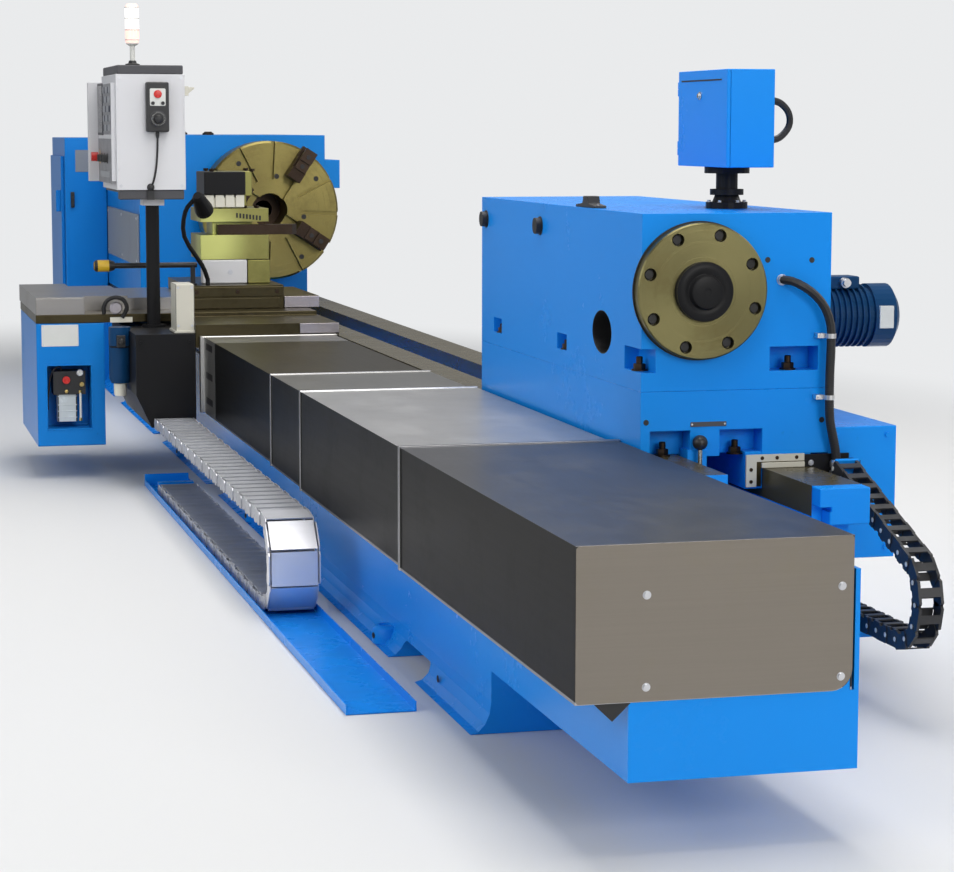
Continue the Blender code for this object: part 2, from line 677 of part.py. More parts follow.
def make_carriage():
    near = COVER_FAR_X[-1]
    saddle = box("saddle", (SADDLE_FAR_X, -SADDLE_HALF, FRONT_WAY_TOP + GAP),
                 (near, SADDLE_HALF, SADDLE_TOP), "iron")
    fuse(saddle, box("saddle_wing", (WING_FAR_X, WING_END_Y, WING_BOTTOM),
                     (WING_NEAR_X, SADDLE_HALF - 0.01, WING_TOP), "iron"))
    apron_y1 = -SADDLE_HALF - GAP
    apron_y0 = apron_y1 - APRON_DEPTH
    side, rise = APRON_CHAMFER
    outline = [(apron_y0 + side, APRON_BOTTOM), (apron_y1, APRON_BOTTOM), (apron_y1, APRON_TOP),
               (apron_y0, APRON_TOP), (apron_y0, APRON_BOTTOM + rise)]
    apron = extrude_x("apron_box", outline, APRON_FAR_X, near, "black")
    low, high = FEED_SERVO_Z
    radius = FEED_SERVO_R
    servo = [(low, radius * 0.8), (low + 0.02, radius), (high, radius)]
    servo_y = apron_y0 - radius + 0.008
    fuse(apron, turned("feed_servo", servo, (FEED_SERVO_X, servo_y, 0), "Z", "navy", 20))
    x, y, z = CABLE_BOX
    fuse(apron, box("cable_box", (near - 0.03 - x, apron_y1 - y, APRON_TOP - 0.02),
                    (near - 0.03, apron_y1, APRON_TOP + z), "white"))
    drive_top = WING_BOTTOM - GAP
    drive = box("drive_box", (WING_FAR_X + 0.02, WING_END_Y, DRIVE_BOX_BOTTOM),
                (WING_NEAR_X, DRIVE_BOX_INNER_Y, drive_top), "blue")
    cut(drive, box("pump_recess", (WING_NEAR_X - RECESS_DEPTH, RECESS_Y[0], RECESS_Z[0]),
                   (WING_NEAR_X + 0.1, RECESS_Y[1], RECESS_Z[1]), "blue"))
    pump_y = (RECESS_Y[0] + 0.03, RECESS_Y[1] - 0.025)
    pump_x = (WING_NEAR_X - RECESS_DEPTH + GAP, WING_NEAR_X - 0.03)
    split = RECESS_Z[0] + 0.16
    pump = box("lubrication_pump", (pump_x[0], pump_y[0], split),
               (pump_x[1], pump_y[1], RECESS_Z[1] - 0.03), "black")
    fuse(pump, box("pump_tank", (pump_x[0] + 0.02, pump_y[0] + 0.02, RECESS_Z[0] + 0.03),
                   (pump_x[1] - 0.01, pump_y[1] - 0.04, split + 0.01), "grey"))
    at = (pump_x[1], pump_y[0] + 0.06, RECESS_Z[1] - 0.07)
    stem = 0.012
    cut(pump, turned("pump_button_hole", [(-0.03, stem + GAP), (0.1, stem + GAP)], at, "X", "black", 16))
    turned("pump_button", [(-0.015, stem), (BUTTON_CLEARANCE, stem), (BUTTON_CLEARANCE, stem + 0.006),
                           (BUTTON_CLEARANCE + 0.01, stem + 0.006)], at, "X", "red", 16)

    make_cross_covers()


def make_cross_covers():
    """Three steel sections over the operator's side of the cross slide, each inside the one before."""
    low = WING_TOP + GAP
    sheet, step = SLIDE_COVER_SHEET, SLIDE_COVER_STEP
    x0 = WING_FAR_X - 0.06
    top, end_y = SLIDE_COVER_TOP, FIXED_COVER_Y
    plate = box("cross_cover_fixed", (x0, WING_END_Y, low), (WING_NEAR_X, end_y, top), "steel")
    cut(plate, box("cover_inside", (x0 + sheet, WING_END_Y + sheet, low - 0.1),
                   (SLIDE_COVER_NEAR_X + step - sheet, end_y + 0.1, top - sheet), "steel"))
    moving = (MOVING_COVER_Y, CROSS_LEFT_Y - GAP)
    spans = (("cross_cover_middle", MIDDLE_COVER_Y), ("cross_cover_moving", moving))
    for i, (name, (y0, y1)) in enumerate(spans):
        far, near = x0 + step * (i + 1), SLIDE_COVER_NEAR_X - step * i
        top = SLIDE_COVER_TOP - step * (i + 1)
        plate = box(name, (far, y0, low), (near, y1, top), "steel")
        cut(plate, box(f"inside_{name}", (far + sheet, y0 - 0.1, low - 0.1),
                       (near - sheet, y1 + 0.1, top - sheet), "steel"))


def make_cross_slide():
    low = WING_TOP + GAP
    slide = box("cross_slide", (CROSS_FAR_X, CROSS_LEFT_Y, low),
                (CROSS_NEAR_X, CROSS_RIGHT_Y, CROSS_TOP), "iron")
    fuse(slide, box("slide_tail", (CROSS_FAR_X + 0.02, CROSS_RIGHT_Y - 0.02, low),
                    (CROSS_NEAR_X - 0.02, CROSS_TAIL_Y, CROSS_TAIL_TOP), "iron"))
    half = POST_BASE_HALF
    base = CROSS_TOP + GAP
    box("tool_post_base", (POST_X - half, POST_Y - half, base),
        (POST_X + half, POST_Y + half, POST_BASE_TOP), "white", (POST_X, POST_Y, base))
    levels = [
        (POST_BASE_TOP + GAP, HEAD_HALF), (HEAD_PLATE_TOP, HEAD_HALF), (HEAD_PLATE_TOP, HEAD_CORE_HALF),
        (HEAD_SLOT_TOP, HEAD_CORE_HALF), (HEAD_SLOT_TOP, HEAD_HALF), (HEAD_BODY_TOP, HEAD_HALF),
        (HEAD_BODY_TOP, HEAD_NECK_HALF), (HEAD_NECK_TOP, HEAD_NECK_HALF), (HEAD_NECK_TOP, HEAD_CORE_HALF),
        (HEAD_CAP_TOP, HEAD_CORE_HALF),
    ]
    rings = [[(POST_X + sx * h, POST_Y + sy * h, z) for sx, sy in ((-1, -1), (1, -1), (1, 1), (-1, 1))]
             for z, h in levels]
    loft("tool_head", rings, "iron", (POST_X, POST_Y, POST_BASE_TOP))
    tool_x = POST_X + HEAD_CORE_HALF + GAP
    y0 = POST_Y - 0.08
    z0 = HEAD_PLATE_TOP + GAP
    tip = TOOL_SIZE * 0.6
    y1 = y0 + TOOL_LENGTH
    shank = [(tool_x, y0), (tool_x + TOOL_SIZE, y0), (tool_x + TOOL_SIZE, y1 - tip),
             (tool_x + 0.005, y1), (tool_x - 0.004, y1 - 0.01), (tool_x, y1 - tip)]
    rings = [[(x, y, z) for x, y in shank] for z in (z0, z0 + TOOL_SIZE - GAP)]
    loft("turning_tool", rings, "zinc")
    make_lamp()
    pipe_x, pipe_y = CROSS_NEAR_X - 0.05, CROSS_LEFT_Y + 0.03
    pipe_r = 0.012
    pipe = turned("coolant_pipe", [(0, 0.02), (0.01, 0.02), (0.01, pipe_r), (0.11, pipe_r)],
                  (pipe_x, pipe_y, base), "Z", "black", 16)
    end = PIPE_ARM_LENGTH
    arm = [(0.02, pipe_r * 1.1), (0.10 - end, pipe_r * 1.1), (0.10 - end, 0.02), (0.08 - end, 0.028),
           (0.01 - end, 0.028), (-end, 0.018)]
    fuse(pipe, turned("pipe_arm", arm, (pipe_x, pipe_y, base + 0.10), "Y", "black", 16))


def make_lamp():
    """The work lamp on its bent arm, one solid from its foot to the lamp head."""
    foot = (CROSS_NEAR_X - 0.03, CROSS_LEFT_Y + 0.10, CROSS_TOP + GAP)
    points = [(0, 0, 0), (0, 0, 0.03), (0.02, -0.03, 0.10), (0.06, -0.12, 0.24), (0.10, -0.12, 0.36),
              (0.12, -0.08, 0.42), (0.13, -0.06, 0.43)]
    route = smooth_route([tuple(foot[i] + p[i] for i in range(3)) for p in points], 3)
    radius = 0.011
    rings = []
    for i, place in enumerate(route):
        ahead = Vector(route[min(i + 1, len(route) - 1)]) - Vector(route[max(i - 1, 0)])
        ahead = Vector((0, 0, 1)) if i == 0 else ahead.normalized()
        side = ahead.cross(Vector((1, 0, 0))).normalized()
        other = ahead.cross(side)
        rings.append([tuple(Vector(place) + radius * (math.cos(a) * side + math.sin(a) * other))
                      for a in (math.pi * k / 5 for k in range(10))])
    lamp = loft("work_lamp", rings, "black", foot, True)
    end = Vector(route[-1])
    shade = [(-0.02, 0.02), (0.0, 0.03), (0.10, 0.045), (0.12, 0.045)]
    head = turned("lamp_head", shade, (0, 0, 0), "Z", "black", 20)
    aim = Vector((-0.75, 0.35, -0.55)).to_track_quat("Z", "Y").to_matrix().to_4x4()
    head.data.transform(Matrix.Translation(end) @ aim)
    fuse(lamp, head)


def make_pendant():
    post = [(GAP, 0.055), (0.012, 0.055), (0.012, PENDANT_R), (PENDANT_TOP - APRON_TOP, PENDANT_R)]
    turned("pendant_post", post, (PENDANT_X, PENDANT_Y, APRON_TOP), "Z", "black", 24)
    pivot = (PENDANT_X, PENDANT_Y, PENDANT_TOP)
    low, high = CONSOLE_BOTTOM, CONSOLE_TOP
    console = box("control_box", (CONSOLE_FAR_X, CONSOLE_FRONT_Y, low), (CONSOLE_NEAR_X, CONSOLE_BACK_Y, high),
                  "white", pivot)
    fuse(console, box("swivel", (PENDANT_X - 0.06, PENDANT_Y - 0.05, PENDANT_TOP + GAP),
                      (PENDANT_X + 0.06, PENDANT_Y + 0.05, low + 0.01), "black"))
    front = CONSOLE_FRONT_Y
    fuse(console, box("far_cheek", (CONSOLE_FAR_X - 0.01, front - CHEEK_DEPTH, low + 0.03),
                      (CONSOLE_FAR_X + CHEEK_WIDTH, front + 0.01, high - 0.03), "white"))
    fuse(console, box("key_panel", (CONSOLE_FAR_X + 0.01, front - 0.02, low + 0.04),
                      (CONSOLE_NEAR_X - 0.03, front + 0.01, high - 0.04), "grey"))
    stop_x = CONSOLE_FAR_X + CHEEK_WIDTH + 0.06
    at = (stop_x, front - 0.02, 1.525)
    stem = 0.014
    cut(console, turned("stop_button_hole", [(-0.1, stem + GAP), (0.03, stem + GAP)], at, "Y", "white", 20))
    turned("stop_button", [(0.015, stem), (-BUTTON_CLEARANCE, stem), (-BUTTON_CLEARANCE, BUTTON_R),
                           (-0.045, BUTTON_R)], at, "Y", "red", 20)
    unit_y = (-0.514, -0.410)
    unit_z = (1.644, 1.874)
    x0 = CONSOLE_NEAR_X + GAP
    thickness = 0.045
    box("hand_unit", (x0, unit_y[0], unit_z[0]), (x0 + thickness, unit_y[1], unit_z[1]), "black")
    middle = sum(unit_y) / 2
    turned("hand_dial", [(GAP, 0.034), (0.016, 0.034), (0.018, 0.030)],
           (x0 + thickness, middle, unit_z[0] + 0.06), "X", "black", 24)
    cord_x = x0 + 0.02
    route = [(cord_x, middle, unit_z[0] - GAP), (cord_x, middle, 1.61), (cord_x, middle - 0.002, 1.55),
             (cord_x, middle - 0.008, 1.48), (cord_x, middle - 0.020, 1.42),
             (cord_x - 0.003, middle - 0.030, 1.396), (x0 + 0.010, middle - 0.033, 1.388),
             (x0, middle - 0.033, 1.388)]
    tube("hand_cable", smooth_route(route, 3), 0.005, "black")
    lamp_x, lamp_y = CONSOLE_NEAR_X - 0.09, CONSOLE_FRONT_Y + 0.09
    light = [(GAP, 0.035), (0.008, 0.035), (0.008, 0.012), (0.13, 0.012), (0.14, 0.028), (0.16, 0.032),
             (0.31, 0.032), (0.325, 0.022)]
    turned("signal_light", light, (lamp_x, lamp_y, high), "Z", "red", 24)


def make_tailstock():
    x0 = TAIL_FAR_X
    x1 = x0 + TAIL_LENGTH
    y0 = TAIL_LEFT_Y
    y1 = y0 + TAIL_WIDTH
    base_z = REAR_WAY_TOP + GAP
    base = box("tailstock_base", (x0, y0, base_z), (x1, y1, TAIL_SPLIT_Z), "blue")
    for i, (a, b) in enumerate(((0.029, 0.154), (0.246, 0.38))):
        cut(base, box(f"bolt_pocket_{i}", (x1 - 0.07, y0 + a, base_z - 0.1),
                      (x1 + 0.1, y0 + b, base_z + 0.078), "blue"))
    lug = (AXIS_Y - 0.03, AXIS_Y + 0.03)
    fuse(base, box("lever_lug", (x1 - 0.08, lug[0], LEVER_Z - 0.03),
                   (x1 + LUG_PROUD, lug[1], base_z + 0.02), "blue"))
    way_end = OUTER_WAY_Y + OUTER_WAY_WIDTH
    width, low = TAIL_GUIDE
    fuse(base, box("way_foot", (x0 + 0.002, OUTER_WAY_Y - 0.003, OUTER_WAY_TOP + GAP),
                   (x1 - 0.002, way_end, TAIL_FOOT_TOP), "blue"))
    fuse(base, box("way_guide", (x0 + 0.004, OUTER_WAY_Y - GAP - width, low),
                   (x1 - 0.004, OUTER_WAY_Y - GAP, TAIL_FOOT_TOP - 0.001), "blue"))
    body = box("tailstock_body", (x0, y0, TAIL_SPLIT_Z + GAP), (x1, y1, TAIL_TOP), "blue")
    hole = QUILL_R + GAP
    through = [(-0.1, hole), (TAIL_LENGTH - 0.1, hole)]
    cut(body, turned("quill_bore", through, (x0, AXIS_Y, AXIS_Z), "X", "blue", 40))
    cut(body, box("corner_pocket", (x1 - 0.16, y0 - 0.1, 0.951), (x1 + 0.1, y0 + 0.045, 1.021), "blue"))
    cut(body, box("rear_pocket", (x1 - 0.08, y1 - 0.19, 0.949), (x1 + 0.1, y1 - 0.037, 1.021), "blue"))
    for i, (x, z) in enumerate(((x0 + 0.225, 0.968), (x0 + 1.035, 0.977))):
        cut(body, box(f"side_pocket_{i}", (x - 0.055, y0 - 0.1, z - 0.026),
                      (x + 0.055, y0 + 0.05, z + 0.026), "blue"))
    oval = [(x1 - 0.39 + 0.10 * math.cos(a), 1.042 + 0.067 * math.sin(a))
            for a in (math.pi * k / 12 for k in range(24))]
    cut(body, extrude_y("hand_hole", oval, y0 - 0.1, y0 + 0.1, "blue"))
    quill_x = x0 - QUILL_OUT
    turned("quill", [(0, QUILL_R - 0.004), (0.004, QUILL_R), (QUILL_LENGTH, QUILL_R)],
           (quill_x, AXIS_Y, AXIS_Z), "X", "zinc", 40)
    turned("dead_centre", [(-GAP, 0.035), (-0.05, 0.035), (-0.05, 0.028), (-0.10, 0.002)],
           (quill_x, AXIS_Y, AXIS_Z), "X", "zinc", 32)
    face = x1 + GAP
    end = FLANGE_THICKNESS
    profile = [(0, FLANGE_R), (end - 0.004, FLANGE_R), (end, FLANGE_R - 0.004), (end, HUB_R), (end + 0.018, HUB_R),
               (end + 0.022, HUB_R - 0.01), (end + 0.022, 0.05), (end + 0.04, 0.045)]
    flange = turned("rear_flange", profile, (face, AXIS_Y, AXIS_Z), "X", "chuck", 64)
    for i in range(FLANGE_HOLES):
        angle = 2 * math.pi * (i + 0.61) / FLANGE_HOLES
        at = (face, AXIS_Y + FLANGE_PCD_R * math.cos(angle), AXIS_Z + FLANGE_PCD_R * math.sin(angle))
        hole = [(0.015, FLANGE_HOLE_R), (0.1, FLANGE_HOLE_R)]
        cut(flange, turned(f"flange_hole_{i}", hole, at, "X", "chuck", 14))
    lever = turned("clamp_lever", [(LUG_PROUD, 0.02), (0.042, 0.02)], (face, AXIS_Y, LEVER_Z), "X", "zinc", 16)
    stem = [(0.01, 0.007), (LEVER_LENGTH - KNOB_R + 0.004, 0.007)]
    ball = [(LEVER_LENGTH + KNOB_R * math.sin(a), KNOB_R * math.cos(a))
            for a in (math.radians(k) for k in range(-60, 90, 30))]
    fuse(lever, turned("lever_stem", stem + ball, (face + 0.028, AXIS_Y, LEVER_Z), "Z", "black", 14))
    radius, length = FEED_MOTOR_R, FEED_MOTOR_LENGTH
    motor = [(GAP, radius), (0.02, radius), (0.02, radius - 0.012), (length - 0.09, radius - 0.012),
             (length - 0.09, radius), (length - 0.02, radius), (length, radius - 0.03)]
    turned("tailstock_motor", motor, (x1 - FEED_MOTOR_BACK, y1, FEED_MOTOR_Z), "Y", "navy", 32)
    make_junction_box(x1)
    make_conduit(x1, y1)


def make_junction_box(tail_x):
    rise = BOX_BOTTOM - TAIL_TOP - GAP
    waist = MAST_R * 0.75
    mast = [(GAP, 0.065), (0.02, 0.065), (0.02, MAST_R), (0.05, waist), (rise - 0.02, waist),
            (rise - 0.02, 0.07), (rise, 0.07)]
    turned("conduit_mast", mast, (tail_x - MAST_BACK, MAST_Y, TAIL_TOP), "Z", "black", 24)
    x0, x1 = tail_x - BOX_BACK, tail_x - BOX_BACK + BOX_LENGTH
    y0, y1 = MAST_Y - BOX_DEPTH / 2, MAST_Y + BOX_DEPTH / 2
    case = box("junction_box", (x0, y0, BOX_BOTTOM), (x1, y1, BOX_TOP), "blue")
    wall = BOX_WALL
    cut(case, box("case_inside", (x0 + wall, y0 - 0.1, BOX_BOTTOM + wall),
                  (x1 - wall, y1 - wall, BOX_TOP - wall), "blue"))
    door_y = y0 - GAP
    hinge = (x0, door_y - 0.012, BOX_BOTTOM)
    box("junction_door", hinge, (x1, door_y, BOX_TOP), "blue", hinge)
    x = x0 + BOX_LENGTH * 0.75
    out = y1 + GAP
    route = [(x, out, BOX_TOP - 0.09), (x, out + 0.02, BOX_TOP - 0.09), (x, out + 0.06, BOX_TOP - 0.10),
             (x, out + 0.088, BOX_TOP - 0.13), (x, out + 0.09, BOX_TOP - 0.17), (x, out + 0.06, BOX_TOP - 0.205),
             (x, out + 0.02, BOX_TOP - 0.215), (x, out, BOX_TOP - 0.215)]
    tube("box_cable", smooth_route(route, 4), 0.011, "black")


def make_conduit(x1, y1):
    """The hose from the near face down to the chain bracket, and the bracket box itself."""
    x = x1 + 0.03
    top_z = CONDUIT_END_Z
    route = [(x1 + GAP, 0.779, 1.219), (x1 + 0.012, 0.779, 1.219), (x, 0.80, 1.216),
             (x + 0.01, 0.835, 1.199), (x + 0.01, 0.872, 1.172), (x + 0.01, 0.902, 1.135),
             (x + 0.01, 0.920, 1.084), (x + 0.01, 0.922, 1.024), (x + 0.01, 0.920, 0.94),
             (x + 0.01, 0.920, 0.86), (x + 0.008, 0.924, 0.80), (x + 0.004, 0.936, 0.75),
             (x, 0.946, 0.71), (x, 0.950, top_z + 0.05), (x, 0.950, top_z + GAP)]
    tube("conduit", smooth_route(route, 2), 0.013, "black")
    back, near = y1 + GAP, x1
    outer = back + CHAIN_BOX_DEPTH
    chain_box = box("chain_box", (near - CHAIN_BOX_LENGTH, back, CHAIN_BOX_Z[0]),
                    (near, outer, CHAIN_BOX_Z[1]), "blue")
    end = Vector(black_chain_end())
    lean = math.radians(BLACK_LEAN)
    ahead, across = Vector((-math.sin(lean), math.cos(lean))), Vector((math.cos(lean), math.sin(lean)))
    side_y = BLACK_Y[1] - 0.023
    fuse(chain_box, box("conduit_shelf", (near - 0.02, OUTER_WAY_Y + OUTER_WAY_WIDTH + 0.02, top_z - 0.02),
                        (end.x - 0.03, side_y + 0.04, top_z), "blue"))
    fuse(chain_box, box("chain_arm", (near - 0.02, side_y, top_z - 0.01),
                        (end.x - 0.014, side_y + 0.04, end.y + 0.02), "blue"))
    half = BLACK_HEIGHT / 2
    plate = [tuple(end + ahead * along + across * side)
             for along, side in ((GAP, -half), (0.012, -half), (0.012, half), (GAP, half))]
    fuse(chain_box, extrude_y("chain_plate", plate, BLACK_Y[0] + 0.005, side_y + 0.03, "blue"))


def black_bend_x():
    return TAIL_FAR_X + TAIL_LENGTH + BLACK_BEND_AHEAD


def black_chain_end():
    lean = math.radians(BLACK_LEAN)
    center_z = BLACK_LOW_Z + BLACK_RADIUS
    x = black_bend_x() + BLACK_RADIUS * math.cos(lean) - BLACK_RUN * math.sin(lean)
    z = center_z + BLACK_RADIUS * math.sin(lean) + BLACK_RUN * math.cos(lean)
    return x, z


def even_points(start, end, pitch):
    """Points from start to end with about one pitch between them, ends included."""
    start, end = Vector(start), Vector(end)
    count = max(1, round((end - start).length / pitch))
    return [tuple(start.lerp(end, i / count)) for i in range(count + 1)]


def arc_points(center, radius, start, end, pitch):
    count = max(1, round(abs(math.radians(end - start)) * radius / pitch))
    angles = [math.radians(start + (end - start) * i / count) for i in range(count + 1)]
    return [(center[0] + radius * math.cos(a), center[1] + radius * math.sin(a)) for a in angles]


def chain(name, joints, height, width_y, finish, split, neck=0.72, bar=0.62):
    """A run of links along joints in the XZ plane: wide plates with a waist at every joint.

    split is the end, 0 or -1, where the chain meets its other half on a level plane.
    """
    y0, y1 = width_y
    inset = (y1 - y0) * 0.04
    rings = []

    def ring(place, across, half, squeeze):
        up = across * half
        low, high = place - up, place + up
        return [(low.x, y0 + squeeze, low.y), (low.x, y1 - squeeze, low.y),
                (high.x, y1 - squeeze, high.y), (high.x, y0 + squeeze, high.y)]

    places = [Vector(p) for p in joints]
    for i, (a, b) in enumerate(zip(places, places[1:])):
        ahead = (b - a).normalized()
        across = Vector((-ahead.y, ahead.x))
        length = (b - a).length
        side = (1 - bar) / 2
        if i:
            before = (a - places[i - 1]).normalized()
            middle = (ahead + before).normalized()
            rings.append(ring(a, Vector((-middle.y, middle.x)), height / 2 * neck, inset))
        else:
            level = Vector((math.copysign(1, across.x), 0))
            rings.append(ring(a, level if split == 0 else across, height / 2, 0))
        step = ahead * length * side * 0.4
        if i:
            rings.append(ring(a + step, across, height / 2, 0))
        if i < len(places) - 2:
            rings.append(ring(b - step, across, height / 2, 0))
        else:
            level = Vector((math.copysign(1, across.x), 0))
            rings.append(ring(b, level if split == -1 else across, height / 2, 0))
    return loft(name, rings, finish)


def make_chains():
    low = TRAY_SHEET + GAP + STEEL_HEIGHT / 2
    high = STEEL_TOP - STEEL_HEIGHT / 2
    radius = (high - low) / 2
    middle = (low + high) / 2
    center = (STEEL_BEND_X, middle)
    split = GAP / 2 / radius * 180 / math.pi
    lower = even_points((STEEL_END_X, low), (STEEL_BEND_X, low), STEEL_PITCH)
    lower += arc_points(center, radius, -90, -split, STEEL_PITCH)[1:]
    chain("steel_chain_lower", lower, STEEL_HEIGHT, STEEL_Y, "zinc", -1)
    upper = arc_points(center, radius, split, 90, STEEL_PITCH)
    upper += even_points((STEEL_BEND_X, high), (COVER_FAR_X[-1] + GAP, high), STEEL_PITCH)[1:]
    chain("steel_chain_upper", upper, STEEL_HEIGHT, STEEL_Y, "zinc", 0)

    bend_x = black_bend_x()
    center = (bend_x, BLACK_LOW_Z + BLACK_RADIUS)
    split = GAP / 2 / BLACK_RADIUS * 180 / math.pi
    lower = even_points((BLACK_END_X, BLACK_LOW_Z), (bend_x, BLACK_LOW_Z), BLACK_PITCH)
    lower += arc_points(center, BLACK_RADIUS, -90, -split, BLACK_PITCH)[1:]
    chain("black_chain_lower", lower, BLACK_HEIGHT, BLACK_Y, "black", -1)
    upper = arc_points(center, BLACK_RADIUS, split, BLACK_LEAN, BLACK_PITCH)
    upper += even_points(upper[-1], black_chain_end(), BLACK_PITCH)[1:]
    chain("black_chain_upper", upper, BLACK_HEIGHT, BLACK_Y, "black", 0)

    wall = TRAY_SHEET
    y0, y1 = TRAY_Y
    outline = [(y0, 0), (y1, 0), (y1, TRAY_WALL), (y1 - wall, TRAY_WALL), (y1 - wall, wall), (y0 + wall, wall),
               (y0 + wall, TRAY_WALL), (y0, TRAY_WALL)]
    tray = extrude_x("chain_tray", outline, *TRAY_X, "blue")
    fuse(tray, box("tray_end", (TRAY_X[0], y0 + 0.001, wall / 2),
                   (TRAY_X[0] + 0.006, y1 - 0.001, 0.055), "blue"))
    fuse(tray, box("chain_stop", (STEEL_END_X - 0.05, STEEL_Y[0] + 0.01, wall / 2),
                   (STEEL_END_X - GAP, STEEL_Y[1] - 0.01, wall + STEEL_HEIGHT), "blue"))


clear_scene()
make_bed()
make_covers()
make_headstock()
make_spindle()
make_drive()
make_carriage()
make_cross_slide()
make_pendant()
make_tailstock()
make_chains()
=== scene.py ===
import math
import bmesh
import bpy
from mathutils import Matrix, Vector
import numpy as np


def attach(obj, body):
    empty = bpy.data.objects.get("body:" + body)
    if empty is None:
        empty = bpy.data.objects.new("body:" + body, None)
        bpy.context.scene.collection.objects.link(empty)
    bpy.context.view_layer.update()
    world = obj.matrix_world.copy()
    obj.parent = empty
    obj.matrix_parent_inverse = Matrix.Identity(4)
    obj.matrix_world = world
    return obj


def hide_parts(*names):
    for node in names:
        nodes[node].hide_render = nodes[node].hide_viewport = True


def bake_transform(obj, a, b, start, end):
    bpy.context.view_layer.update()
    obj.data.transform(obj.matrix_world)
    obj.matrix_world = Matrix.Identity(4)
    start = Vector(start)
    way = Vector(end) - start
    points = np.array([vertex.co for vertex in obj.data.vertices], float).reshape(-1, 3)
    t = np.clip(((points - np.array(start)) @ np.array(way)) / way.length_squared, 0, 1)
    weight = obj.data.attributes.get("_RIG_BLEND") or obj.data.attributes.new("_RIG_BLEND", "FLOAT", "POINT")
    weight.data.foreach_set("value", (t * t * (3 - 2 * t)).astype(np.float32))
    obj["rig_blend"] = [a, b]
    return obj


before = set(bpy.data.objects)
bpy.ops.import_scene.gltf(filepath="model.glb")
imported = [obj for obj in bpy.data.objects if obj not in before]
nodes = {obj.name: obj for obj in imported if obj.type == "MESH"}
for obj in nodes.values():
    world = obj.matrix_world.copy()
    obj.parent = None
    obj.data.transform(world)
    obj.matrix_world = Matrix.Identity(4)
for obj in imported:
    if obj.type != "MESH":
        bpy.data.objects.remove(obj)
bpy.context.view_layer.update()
print("frame loaded")


# helpers for node trees

def feed(tree, node, inputs):
    # sets sockets to plain values, or links other sockets to them
    pairs = inputs.items() if isinstance(inputs, dict) else enumerate(inputs)
    for key, value in pairs:
        if isinstance(value, bpy.types.NodeSocket):
            tree.links.new(value, node.inputs[key])
        elif value is not None:
            node.inputs[key].default_value = value


def addNode(tree, kind, inputs=(), **settings):
    made = tree.nodes.new(kind)
    for key, value in settings.items():
        setattr(made, key, value)
    feed(tree, made, inputs)
    return made


def math2(tree, operation, a, b=None, clamp=False):
    return addNode(tree, "ShaderNodeMath", [a, b], operation=operation, use_clamp=clamp).outputs[0]


def times(tree, a, b, clamp=False):
    return math2(tree, "MULTIPLY", a, b, clamp)


def plus(tree, a, b):
    return math2(tree, "ADD", a, b)


def ramped(tree, value, low, gain):
    # 0 below the low value, rising to 1 above it
    return times(tree, math2(tree, "SUBTRACT", value, low), gain, True)


def vectorMath(tree, operation, a, b=None):
    return addNode(tree, "ShaderNodeVectorMath", [a, b], operation=operation).outputs


def coordsOf(tree, kind="Object"):
    return addNode(tree, "ShaderNodeTexCoord").outputs[kind]


def splitOf(tree, vector):
    return addNode(tree, "ShaderNodeSeparateXYZ", [vector]).outputs


def noiseOf(tree, scale, detail=2.0, rough=0.5):
    inputs = {"Vector": coordsOf(tree), "Scale": scale, "Detail": detail, "Roughness": rough}
    return addNode(tree, "ShaderNodeTexNoise", inputs).outputs["Fac"]


# camera and light

camera = {
    "place": (14.610, -1.928, 1.66),
    "forward": (-0.96188, 0.24598, -0.11945),
    "right": (0.24761, 0.96886, 0.00128),
    "lens": 94.34, "sensor": 36,  # millimetres
    "shiftX": 0.0021, "shiftY": -0.0066, "farEnd": 100,
}


def makeCamera():
    data = bpy.data.cameras.new("lens")
    data.lens = camera["lens"]
    data.sensor_width = camera["sensor"]
    data.shift_x = camera["shiftX"]
    data.shift_y = camera["shiftY"]
    data.clip_end = camera["farEnd"]
    eye = bpy.data.objects.new("camera", data)
    back = -Vector(camera["forward"]).normalized()
    right = Vector(camera["right"])
    right = (right - right.dot(back) * back).normalized()
    up = back.cross(right)
    turn = Matrix((right, up, back)).transposed().to_4x4()
    eye.matrix_world = Matrix.Translation(camera["place"]) @ turn
    bpy.context.scene.collection.objects.link(eye)
    bpy.context.scene.camera = eye


lights = {
    # name: place, aim, width, height, watts, colour
    "overHead": ((5.0, 0.3, 6.5), (5.0, 0.3, 0.0), 11.0, 3.0, 470, (1.0, 0.98, 0.95)),
    "operatorSide": ((9.0, -6.5, 3.6), (5.0, 0.0, 0.8), 7.0, 3.0, 150, (0.93, 0.96, 1.0)),
    "nearEnd": ((17.5, 2.5, 4.2), (8.0, 0.3, 0.8), 4.0, 3.0, 330, (1.0, 0.98, 0.94)),
    "rearSide": ((5.0, 7.0, 4.2), (4.5, 0.5, 0.8), 8.0, 3.0, 150, (1.0, 0.97, 0.93)),
}


def makeLights():
    for name, (place, aim, width, height, watts, color) in lights.items():
        data = bpy.data.lights.new(name, "AREA")
        data.shape = "RECTANGLE"
        data.size = width
        data.size_y = height
        data.energy = watts
        data.color = color
        lamp = bpy.data.objects.new(name, data)
        lamp.location = place
        lamp.rotation_euler = (Vector(aim) - Vector(place)).to_track_quat("-Z", "Y").to_euler()
        bpy.context.scene.collection.objects.link(lamp)


world = {
    # heights from straight down, 0, to straight up, 1
    "ramp": ((0.42, (0.16, 0.16, 0.17)), (0.52, (0.40, 0.41, 0.43)), (0.75, (0.66, 0.68, 0.70))),
    "strength": 0.75, "backdrop": (0.82, 0.83, 0.84), "mirrored": (0.34, 0.35, 0.37),
}


